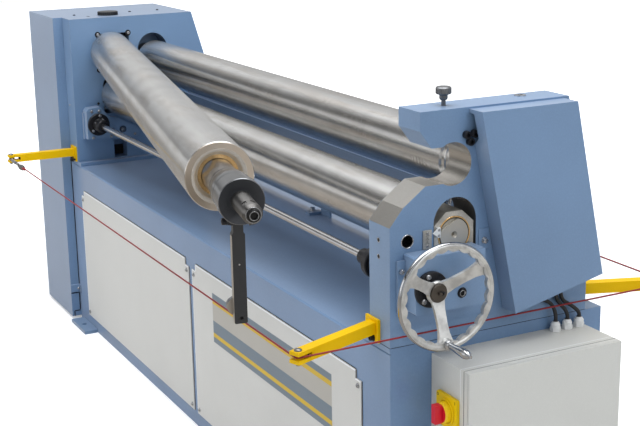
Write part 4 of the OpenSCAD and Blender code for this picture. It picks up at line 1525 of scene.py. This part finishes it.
@dataclass
class Rolls:
    """The three rolls, the top roll's bush and sleeve, and the lever that hangs from it.

    Distances from an end are measured back along the top roll.

    Attributes:
        line: the top roll's axis.
        steel: the ground rolls' colour.
        neck: from the sleeve's end to its neck.
        step: from the sleeve's end to the two sides of its step, painted dark as shade.
        grooves: the same for its two grooves, painted dark as shade.
        rim: width of the sleeve's bright rim.
        dish: radius and depth of the blackened dish in the sleeve's end.
        lever_side: from the lever's front to the two edges of its bare sides.
        lever_tall: from the lever's foot to the two ends of its bare sides.
        lever_back: from its front to its worn back.
        lug_down: from the axis down to the bolts through the lever's lug.
        free: how far before the bush's end the polished bowl begins.
        stub: radius that holds the stub.
        flare: radius where the bowl flares out.
        bowl: radius of the bowl.
        barrel: radius that holds the barrel's end face.
        face: distance of that face beyond the bush's end.
        journal: radius that holds the lower and rear roll's journals.
        lug_bolt: a bolt through the lever's lug.
        stub_screw: the cap screw in the stub's end.
    """

    line: Shaft = field(default_factory=lambda: Shaft("top_roll_spin"))
    steel: Rgb = (205, 205, 204)
    neck: float = 116
    step: tuple[float, float] = (34.5, 31.5)
    grooves: tuple[tuple[float, float], tuple[float, float]] = ((71, 69), (148, 143))
    rim: float = 1.8
    dish: tuple[float, float] = (44.3, 7)
    lever_side: tuple[float, float] = (18.6, 0.4)
    lever_tall: tuple[float, float] = (1, 178)
    lever_back: float = 19.5
    lug_down: float = 49.7
    free: float = 2
    stub: float = 25
    flare: float = 51
    bowl: float = 58.6
    barrel: float = 72.5
    face: float = 14.2
    journal: float = 45
    lug_bolt: Screw = Screw(Head.SOCKET, 14, 8, 17)
    stub_screw: Screw = Screw(Head.SOCKET, 25, 7)

    def sleeve_zones(self, g: Graph) -> Zones:
        """Darker neck, ground sleeve with a bright rim and painted shade at its step and grooves,
        and the blackened dish at its end.

        Args:
            g: the sleeve's graph.

        Returns:
            The zones.
        """
        along, out = g.about(self.line.start, self.line.way)
        end = self.line.reach("roll_sleeve", 1)
        neck = g.below(along, end - self.neck)
        # Dark bands at the step and in the two grooves: painted shade.
        step = g.between(along, *(end - v for v in self.step))
        grooves = g.either(*(g.between(along, end - a, end - b) for a, b in self.grooves))
        rim = g.above(along, end - self.rim)
        dish = g.both(g.below(out, self.dish[0]), g.above(along, end - self.dish[1]))
        return [(neck, Skin((164, 165, 168), 1.0, 0.27)), (step, Skin((84, 86, 90), 1.0, 0.3)),
                (grooves, Skin((66, 68, 72), 1.0, 0.35)), (rim, Skin((128, 130, 134), 1.0, 0.25)),
                (dish, Skin((62, 64, 68), 0.5, 0.42))]

    def lever_zones(self, g: Graph) -> Zones:
        """Bare sides of the lever between its blackened front and its worn back.

        Args:
            g: the lever's graph.

        Returns:
            The zones.
        """
        along, _ = g.about(self.line.start, self.line.way)
        front = self.line.reach("lever_bar", 1)
        _, _, z = g.xyz()
        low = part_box("lever_bar")[0][2]
        side = g.both(g.between(along, *(front - v for v in self.lever_side)),
                      g.between(z, *(low + v * MM for v in self.lever_tall)))
        return [(side, Skin((176, 172, 166), 1.0, 0.4)),
                (g.below(along, front - self.lever_back), Skin((128, 130, 134), 1.0, 0.34))]

    def stub_zones(self, g: Graph) -> Zones:
        """Polished bowl in the barrel's end, its reflections painted in as a light, half-dull tone
        that is lightest at its flare, and the darker stub, over the ground barrel.

        Args:
            g: the roll's graph.

        Returns:
            The zones.
        """
        along, out = g.about(self.line.start, self.line.way)
        end = self.line.reach("brass_bush", 1)
        free = g.above(along, end - self.free)
        inner = g.both(g.below(out, self.bowl), free)
        face = g.both(g.above(along, end + self.face), g.below(out, self.barrel))
        stub = g.both(g.below(out, self.stub), free)
        flare = g.both(inner, g.above(out, self.flare))
        # The bowl's light, half-dull zones stand in for the bright reflections of polished steel:
        # painted reflection.
        return [(face, Skin((188, 177, 164), 1.0, 0.3)), (inner, Skin((206, 190, 166), 0.3, 0.3)),
                (flare, Skin((238, 230, 218), 0.3, 0.22)), (stub, Skin((104, 103, 102), 1.0, 0.4))]

    def journal_zones(self, shaft: Shaft) -> Masks:
        """Dull journals beyond the ground barrel.

        Args:
            shaft: the line that the roll turns about.

        Returns:
            The function that gives the zones.
        """
        def zones(g: Graph) -> Zones:
            """The journals, by their distance out from the axis."""
            _, out = g.about(shaft.start, shaft.way)
            return [(g.below(out, self.journal), Skin((196, 192, 183), 0.7, 0.42))]
        return zones

    def build(self) -> None:
        """Dresses the rolls and adds the lever's and the stub's small parts."""
        for node in ("top_roll", "lower_roll", "rear_roll"):
            shaft = Shaft(node + "_spin")
            zones = self.stub_zones if node == "top_roll" else self.journal_zones(shaft)
            RollSteel("ground_" + node, self.steel, 0.22, "bare_steel", shaft=shaft,
                      zones=zones).dress(node)
        BRASS.dress("brass_bush")
        Zoned("sleeve_steel", (118, 120, 123), 0.24, "bare_steel", bare=1.0, depth=0.01,
              grain=1.4, zones=self.sleeve_zones).dress("roll_sleeve")
        Zoned("lever_black", (46, 47, 49), 0.44, "black_steel", bare=0.2, grain=1.5,
              zones=self.lever_zones).dress("lever_bar")
        self.lever_parts()
        self.stub_parts()

    def lever_parts(self) -> None:
        """Clamp bolts through the lever's lug, a painted glint on its front and painted shade in
        the hole near its foot.
        """
        back, front = (self.line.reach("lever_bar", end) for end in (-1, 1))
        side = np.cross(Z, self.line.way)
        lug = moved(self.line.at((front + back) / 2 + 6), z=-self.lug_down)
        build_piece("lever_bolts", self.lug_bolt.shells(lug - side * 21 * MM, -side)
                    + self.lug_bolt.shells(lug + (side * 24 - Z * 4) * MM, side), BLACK_STEEL,
                    "sleeve")
        # A small bright dome where the lever's front shows a glint: painted highlight.
        pin = turned([(0, 0), (2, 0), (1.7, 0.6), (0, 0.8)], 20)
        build_piece("lever_glint", [pin.placed(moved(self.line.at(front), z=-136), self.line.way)],
                    BRIGHT, "sleeve")
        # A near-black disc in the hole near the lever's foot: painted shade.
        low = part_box("lever_bar")[0][2] + 11 * MM
        hole = moved(self.line.at(front - 4), y=1)
        build_piece("lever_hole_shade", [disc(3.7, 1, 24).placed((hole[0], hole[1], low),
                                                           self.line.way)], SHADE_AND_PRINT_BLACK, "sleeve")

    def stub_parts(self) -> None:
        """Cap screw in the stub's end with its bright rim and its washer."""
        end, way = self.line.at(self.line.reach("top_roll", 1)), self.line.way
        build_piece("stub_screw", self.stub_screw.shells(end, way), BLACK_STEEL_AND_SHADE,
                    "top_roll")
        build_piece("stub_screw_rim", [ring(7.6, 9.0, 0.5).placed(end + way * 6.9 * MM, way)], ZINC,
                    "top_roll")
        build_piece("stub_washer", [ring(13.2, 15.2, 1.2).placed(end, way)], ZINC, "top_roll")


@dataclass
class Handwheel:
    """The handwheel, its crank and the cross shaft.

    Attributes:
        hub: radius of the turned hub.
        hub_face: where the hub begins, from the wheel's left side.
        arms: radius up to which the arms are frosted.
        key_screw: the screw beside the hub's key.
        crank_nut: the nut on the crank.
    """

    hub: float = 20.6
    hub_face: float = 14.5
    arms: float = 112
    key_screw: Screw = Screw(Head.SOCKET, 10, 4)
    crank_nut: Screw = Screw(Head.HEX, 7, 3)

    def wheel_zones(self, g: Graph) -> Zones:
        """Frosted arms with a cloudy tone and the turned steel hub, in the bright casting.

        Args:
            g: the wheel's graph.

        Returns:
            The zones.
        """
        low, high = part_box("handwheel")
        centre = (low[0], (low[1] + high[1]) / 2, corner("cross_shaft", (0, 0, 0))[2])
        along, out = g.about(centre, X)
        hub = g.both(g.below(out, self.hub), g.above(along, self.hub_face))
        arms = g.both(g.below(out, self.arms), g.above(out, self.hub))
        cloud = g.both(arms, g.ramp(g.noise(42, 4, seed=7.0), 0.4, 0.62))
        return [(arms, Skin((206, 207, 206), 0.7, 0.42)), (cloud, Skin((178, 179, 179), 0.8, 0.36)),
                (hub, Skin((84, 78, 72), 0.7, 0.4))]

    def build(self) -> None:
        """Dresses the wheel and adds the hub's key and screw and the crank's nut."""
        Zoned("wheel_alloy", (168, 170, 173), 0.13, "polished_steel", bare=1.0, grain=14,
              depth=0.12, spread=0.1, zones=self.wheel_zones).dress("handwheel")
        CAST.dress("crank_handle")
        RollSteel("ground_shaft", (208, 209, 212), 0.16, "polished_steel",
                  shaft=Shaft("handwheel_turn")).dress("cross_shaft")
        nose = corner("cross_shaft", (1, 0, 0), (24, 0, 0))
        build_piece("hub_key", [block((5, 5, 1.6), 0.3).placed(moved(nose, -7, 10), X)]
                    + self.key_screw.shells(moved(nose, -7, 4.5), X),
                    BLACK_STEEL_AND_SHADE, "wheel")
        tip = corner("crank_handle", (1, 0, 0), (-1.5, 0, 0))
        build_piece("crank_nut", self.crank_nut.shells(tip, X), BRIGHT, "wheel")


@dataclass
class TripWire:
    """The four yellow arms, the red wire and its tensioners.

    Attributes:
        arms: for each arm, its node and its signs towards the outside and the rear.
        splay: angles by which the left and the right arms lean outwards.
        bolts: an arm's bolts, outwards from its root and out of its foot.
        slot: distance from the pin to the slot's end, where a dark block is painted shade.
        eye: half the width of a tensioner's eye.
        bend: the wire's outer radius round a pin.
        offset: distance of the wire's middle from the pins' line.
        rod: length of a tensioner from its pin.
        arm_bolt: a bolt of an arm's foot.
    """

    arms: tuple[tuple[str, int, int], ...] = (
        ("front_left_arm", -1, -1), ("front_right_arm", 1, -1),
        ("rear_left_arm", -1, 1), ("rear_right_arm", 1, 1))
    splay: tuple[float, float] = (2, 20.5)
    bolts: tuple[tuple[float, float], ...] = ((7.5, 13.7), (33, 5.7))
    slot: float = 29.4
    eye: float = 10.4
    bend: float = 9.2
    offset: float = 7.2
    rod: float = 128
    arm_bolt: Screw = Screw(Head.SOCKET, 12, 8, 17)

    def build(self) -> None:
        """Dresses the arms and the wire and adds all their small parts."""
        YELLOW.dress(*[a[0] for a in self.arms])
        WIRE.dress("trip_wire")
        ZINC.dress("wire_tensioner")
        bolts: list[Shell] = []
        heads: list[Shell] = []
        ends: list[Shell] = []
        for node, out, rear in self.arms:
            bolts += self.arm_bolts(node, out, rear)
            heads += self.pin_head(out, rear)
            ends.append(self.slot_end_shade(out, rear))
        build_piece("arm_bolts", bolts, BLACK_STEEL)
        build_piece("pin_heads", heads, DULL)
        build_piece("slot_end_shades", ends, SHADE_AND_PRINT_BLACK)
        metal, sleeves = self.hooks()
        build_piece("wire_hooks", metal, DULL)
        build_piece("wire_sleeves", sleeves, WIRE)

    def pin(self, out: int, rear: int) -> Array:
        """Middle of the pin in an arm's fork, from the eye or the bend that lies round it.

        Args:
            out: -1 on the left, 1 on the right.
            rear: -1 at the front, 1 at the rear.

        Returns:
            The point in metres.
        """
        if out < 0:
            return corner("wire_tensioner", (-1, rear, 0), (self.eye, -rear * self.eye, 0))
        return corner("trip_wire", (1, rear, 0), (-self.bend, -rear * self.bend, 0))

    def arm_bolts(self, node: str, out: int, rear: int) -> list[Shell]:
        """The two bolts of an arm's foot, and the spacer behind the first.

        Args:
            node: the arm.
            out: -1 on the left, 1 on the right.
            rear: -1 at the front, 1 at the rear.

        Returns:
            Their shells.
        """
        root, look = corner(node, (-out, -rear, -1)), Y * rear
        places = spots(root, [(out * d, rear * s, 7) for d, s in self.bolts])
        spacer = moved(root, out * self.bolts[0][0], rear * 5.4, 7)
        return [*screws(self.arm_bolt, places, look),
                disc(4, 9, 20).placed(spacer, look)]

    def pin_head(self, out: int, rear: int) -> list[Shell]:
        """The pin's domed head above the fork, with its washer and its end below.

        Args:
            out: -1 on the left, 1 on the right.
            rear: -1 at the front, 1 at the rear.

        Returns:
            Their shells.
        """
        middle = self.pin(out, rear)
        dome = turned([(0, 0), (8.5, 0), (8.5, 1.6), (7, 3.4), (4, 4.6), (0, 5)])
        end = turned([(0, 0), (4.8, 0), (4.8, 5), (3.4, 6), (0, 6)])
        return [dome.placed(moved(middle, z=13), Z), ring(5.2, 9, 1.5).placed(
            moved(middle, z=-14.5), Z), end.placed(moved(middle, z=-13.5), -Z)]

    def slot_end_shade(self, out: int, rear: int) -> Shell:
        """A dark block of painted shade at the end of the slot between the fork's two cheeks.

        Args:
            out: -1 on the left, 1 on the right.
            rear: -1 at the front, 1 at the rear.

        Returns:
            Its shell.
        """
        lean = self.splay[out > 0]
        way = np.array((math.sin(math.radians(lean)) * out, math.cos(math.radians(lean)) * rear, 0))
        place = moved(self.pin(out, rear) - way * self.slot * MM, z=-4.7)
        # A near-black block at the slot's end: painted shade.
        return block((24.6, 2, 9.4), 0.2).placed(place, Z, lean * out * rear)

    def hooks(self) -> tuple[list[Shell], list[Shell]]:
        """Link, thimble and crimped sleeve where the wire's front and rear runs begin.

        Returns:
            The metal shells and the sleeves.
        """
        metal: list[Shell] = []
        sleeves: list[Shell] = []
        thimble = turned([(0, 0), (3.5, 1), (8.6, 9), (9.2, 22), (8.4, 34), (5, 42), (0, 43)], 28)
        sleeve = turned([(0, 0), (4.6, 0), (5, 2), (4.4, 16), (2.4, 22), (0, 22)], 24)
        for rear in (-1, 1):
            start = moved(self.pin(-1, rear), 0, rear * self.offset)
            metal += [hoop(6.5, 1.6).placed(moved(start, self.rod + 3), Y),
                      hoop(6.5, 1.6).placed(moved(start, self.rod + 12), Z),
                      thimble.placed(moved(start, self.rod + 17), X)]
            sleeves.append(sleeve.placed(moved(start, self.rod + 58), X))
        return metal, sleeves


@dataclass
class ElectricBox:
    """The electric box with its door, main switch and cables.

    Attributes:
        cup: depth of the switch's yellow rim from the knob's foot.
        grip: radius of the red grip inside it.
        gap: distance behind the door's left side and width of the grey strip of painted shade in
            the door's gap.
        fold: the same for the white strip of painted highlight on the box's folded edge.
        mark_out: distance of the switch's marks to each side of its middle.
        mark_up: their height above it.
        glands: for each cable gland, the end of the row it is at and its shift from there.
    """

    cup: float = 15.2
    grip: float = 20.8
    gap: tuple[float, float] = (0.9, 1.3)
    fold: tuple[float, float] = (13.5, 1.6)
    mark_out: float = 33
    mark_up: float = 30
    glands: tuple[tuple[int, float], ...] = ((-1, 11), (0, 0), (1, -11))

    def cup_zone(self, g: Graph) -> Zones:
        """The yellow rim round the red grip of the main switch.

        Args:
            g: the knob's graph.

        Returns:
            The zone, from the switch's own axis.
        """
        line = Shaft("main_switch_turn")
        along, out = g.about(line.start, line.way)
        foot = float((corner("switch_knob", (0, 1, 0)) - line.start) @ line.way) / MM
        rim = g.both(g.below(along, foot + self.cup), g.above(out, self.grip))
        return [(rim, Skin(SWITCH_YELLOW.colour, 0.0, 0.4))]

    @staticmethod
    def seam(back: float, size: float) -> list[Shell]:
        """A strip across the box's top and one down its front side.

        Args:
            back: distance of the strips behind the door.
            size: their width.

        Returns:
            The two strips.
        """
        low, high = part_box("box_door")
        wide, tall = (high[1] - low[1]) / MM, (high[2] - low[2]) / MM
        top = corner("box_door", (-1, 0, 1), (-back, 0, -0.15))
        side = corner("box_door", (-1, -1, 0), (-back, -0.25, 0.5 - tall / 2))
        return [block((size, wide - 1, 0.5), 0.1).placed(top, Z),
                block((size, 0.6, tall - 1), 0.1).placed(side, Z)]

    def build(self) -> None:
        """Dresses the box and adds painted shade in the door's gap, painted highlight on its fold,
        switch marks, switch collar and gland seals.
        """
        BOX_GREY.dress("electric_box", "box_door")
        SWITCH_YELLOW.dress("switch_plate")
        Zoned("switch_cup", RED.colour, RED.rough, "red_plastic", grain=0.9, depth=0.02,
              zones=self.cup_zone).dress("switch_knob")
        WHITE.dress("cable_glands")
        RUBBER.dress("supply_cables")
        # A grey strip in the door's gap: painted shade.
        build_piece("door_gap_shade", self.seam(*self.gap), GAP_SHADE)
        # A white strip on the box's folded edge: painted highlight.
        build_piece("box_fold_highlight", self.seam(*self.fold), WHITE)
        middle = corner("switch_plate", (0, -1, 0))
        off, on = (moved(middle, side * self.mark_out, 0, self.mark_up) for side in (-1, 1))
        build_piece("switch_marks", [ring(2.2, 3.4, 0.3, 32, 0.05).placed(off, -Y),
                                     block((1.3, 7, 0.3), 0.05).placed(on, -Y)], SHADE_AND_PRINT_BLACK)
        rim = corner("switch_knob", (0, 1, 0), (0, 0.2, 0))
        build_piece("switch_collar", [ring(24.8, 30.5, 2.6, 64, 1.0).placed(rim, -Y)],
                    SWITCH_YELLOW)
        seals = [corner("cable_glands", (0, end, -1), (0, shift, 22)) for end, shift in self.glands]
        build_piece("gland_seals", [ring(4.7, 6.3, 1.4).placed(p, Z) for p in seals], RUBBER)


@dataclass
class Studio:
    """Camera, floor, lamps and world.

    Attributes:
        place: the camera's place in metres.
        heading: degrees from +Y to its view, towards -X.
        dip: degrees by which it looks down.
        roll: degrees by which it leans.
        lens: focal length on a sensor 36 mm wide.
        reach: half the floor's width in metres.
        points: points along a side of the floor.
        pale_from: distances from the middle where the floor's glow starts and ends its rise.
        lamps: for each soft box its name, place, aim, size in metres and power in watts.
        shed: strength of the light from all round.
        panels: level of the surroundings in gloss, from the rear horizon (0) to the front (1).
        windows: how often the pattern of windows repeats round the horizon.
    """

    place: tuple[float, float, float] = (3.389484, -1.604543, 1.587747)
    heading: float = 62.75124
    dip: float = 14.55258
    roll: float = -1.02843
    lens: float = 73.44
    reach: float = 14.0
    points: int = 9
    pale_from: tuple[float, float] = (1500, 4500)
    lamps: tuple[tuple[str, Point, Point, tuple[float, float], float], ...] = (
        ("top_box", (0.4, -0.4, 4.2), (0, 0, 0.5), (4.5, 3.0), 190),
        ("front_box", (-1.0, -4.2, 2.2), (0, 0, 0.7), (3.6, 2.4), 30),
        ("side_box", (3.8, 0.5, 2.2), (0.6, 0, 0.7), (1.8, 1.6), 18))
    shed: float = 0.55
    panels: tuple[tuple[float, float], ...] = (
        (0.0, 0.8), (1.0, 0.9), (0.08, 0.5), (0.2, 0.58), (0.28, 0.8), (0.34, 0.5), (0.4, 0.85),
        (0.56, 0.78), (0.63, 0.45), (0.72, 0.22), (0.8, 0.18), (0.86, 0.6), (0.93, 0.75))
    windows: float = 7.0

    def camera(self) -> None:
        """Places the camera: its axes come from the heading, the dip and the lean."""
        a, e, r = (math.radians(v) for v in (self.heading, self.dip, self.roll))
        right = np.array((math.cos(a), math.sin(a), 0))
        ahead = np.array((-math.sin(a) * math.cos(e), math.cos(a) * math.cos(e), -math.sin(e)))
        up = np.cross(right, ahead)
        right, up = (math.cos(r) * right + math.sin(r) * up,
                     -math.sin(r) * right + math.cos(r) * up)
        data = bpy.data.cameras.new("camera")
        data.lens, data.sensor_width, data.clip_end = self.lens, 36, 100
        camera = bpy.data.objects.new("camera", data)
        turn = np.eye(4)
        turn[:3, :3] = np.stack([right, up, -ahead], 1)
        turn[:3, 3] = self.place
        camera.matrix_world = Matrix(turn.tolist())
        bpy.context.scene.collection.objects.link(camera)
        bpy.context.scene.camera = camera

    def floor(self) -> None:
        """A wide pale floor, P(a, b) = (a, b, 0), that shows white where no shadow falls."""
        line = np.linspace(-self.reach, self.reach, self.points)
        a, b = np.meshgrid(line, line, indexing="ij")
        points = np.stack([a, b, np.zeros_like(a)], -1).reshape(-1, 3)
        mesh = bpy.data.meshes.new("floor")
        mesh.from_pydata(points.tolist(), [], grid_faces(self.points, self.points, wrap=False))
        floor = bpy.data.objects.new("floor", mesh)
        bpy.context.scene.collection.objects.link(floor)
        made = bpy.data.materials.new("floor_pale")
        g = Graph(made)
        _, out = g.about((0, 0, 0), Z)
        glow = g.ramp(out, *self.pale_from, 0.34, 1.0)
        glossy = g.node("ShaderNodeLightPath").outputs["Is Glossy Ray"]
        tone = g.mix(glossy, (0.86, 0.86, 0.86, 1), (0.42, 0.38, 0.33, 1))
        g.set(Base_Color=tone, Roughness=0.9, Specular_IOR_Level=0.2,
              Emission_Color=(1.0, 1.0, 1.0, 1.0),
              Emission_Strength=g.math("MULTIPLY", g.seen(), g.math(
                  "MULTIPLY", glow, g.ramp(glossy, 0, 1, 1.0, 0.12))))
        mesh.materials.append(made)

    @staticmethod
    def lamp(name: str, at: Point, to: Point, size: tuple[float, float], watts: float) -> None:
        """A soft box that looks from one point to another.

        Args:
            name: its name.
            at: its place in metres.
            to: the point it looks at.
            size: its width and height in metres.
            watts: its power.
        """
        data = bpy.data.lights.new(name, "AREA")
        data.shape, data.size, data.size_y = "RECTANGLE", *size
        data.energy = watts
        lamp = bpy.data.objects.new(name, data)
        lamp.location = at
        lamp.rotation_euler = (Vector(to) - Vector(at)).to_track_quat("-Z", "Y").to_euler()
        bpy.context.scene.collection.objects.link(lamp)

    def world(self) -> None:
        """White behind the machine, panels of grey in its gloss and a soft light from all round.

        The panels run along the machine, so their level is a function of the angle
        atan2(z, y) of a direction: from the rear horizon over the top to the front horizon.
        Towards +X it gives way to bright windows, from the sine of 7 times atan2(y, x).
        """
        world = bpy.data.worlds.new("studio")
        bpy.context.scene.world = world
        world.use_nodes = True
        tree = world.node_tree
        tree.nodes.clear()

        def add(kind: str, *inputs: object, **settings: object) -> bpy.types.Node:
            """A node with its inputs linked or set in order.

            Args:
                kind: the node's type.
                inputs: sockets to link or values to set, from the first input on.
                settings: the node's own settings.

            Returns:
                The node.
            """
            n = tree.nodes.new(kind)
            for key, value in settings.items():
                setattr(n, key, value)
            for socket, value in zip(n.inputs, inputs):
                if isinstance(value, Socket):
                    tree.links.new(value, socket)
                else:
                    socket.default_value = value
            return n

        def work(operation: str, *inputs: object) -> Socket:
            """One arithmetic step."""
            return add("ShaderNodeMath", *inputs, operation=operation).outputs[0]

        path = add("ShaderNodeLightPath").outputs
        way = add("ShaderNodeSeparateXYZ", add("ShaderNodeTexCoord").outputs["Generated"]).outputs
        over = work("ARCTAN2", way["Z"], way["Y"])
        ramp = add("ShaderNodeValToRGB", work("DIVIDE", over, math.pi))
        bar = ramp.color_ramp
        for k, (spot, level) in enumerate(self.panels):
            e = bar.elements[k] if k < 2 else bar.elements.new(spot)
            e.position, e.color = spot, (level, level, level, 1)
        wave = work("SINE", work("MULTIPLY", work("ARCTAN2", way["Y"], way["X"]), self.windows))
        window = add("ShaderNodeMapRange", wave, 0.15, 0.55, 0.42, 1.0).outputs[0]
        blend = add("ShaderNodeMix", add("ShaderNodeMapRange", way["X"], 0.0, 0.35, 0.0,
                                         1.0).outputs[0])
        tree.links.new(ramp.outputs["Color"], blend.inputs[2])
        tree.links.new(window, blend.inputs[3])
        gloss = add("ShaderNodeBackground", blend.outputs[0], 1.0).outputs[0]
        shown = add("ShaderNodeBackground", (1.0, 1.0, 1.0, 1.0), 1.0).outputs[0]
        shed = add("ShaderNodeBackground", (0.93, 0.96, 1.0, 1.0), self.shed).outputs[0]
        dull = work("MAXIMUM", path["Is Glossy Ray"], path["Is Transmission Ray"])
        first = add("ShaderNodeMixShader", dull, shed, gloss).outputs[0]
        last = add("ShaderNodeMixShader", path["Is Camera Ray"], first, shown).outputs[0]
        add("ShaderNodeOutputWorld", last)

    def build(self) -> None:
        """Sets up the whole studio."""
        self.camera()
        self.floor()
        self.world()
        for lamp in self.lamps:
            self.lamp(*lamp)
        bpy.context.scene.view_settings.view_transform = "Standard"


def main() -> None:
    """Builds the studio and every sub-assembly in order."""
    logging.basicConfig(level=logging.INFO, format="%(message)s")
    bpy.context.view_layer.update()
    Studio().build()
    for part in (Base(), DriveSide(), WorkHead(), Rolls(), Handwheel(), TripWire(), ElectricBox()):
        log.info("%s", type(part).__name__)
        part.build()


if __name__ == "__main__":
    main()
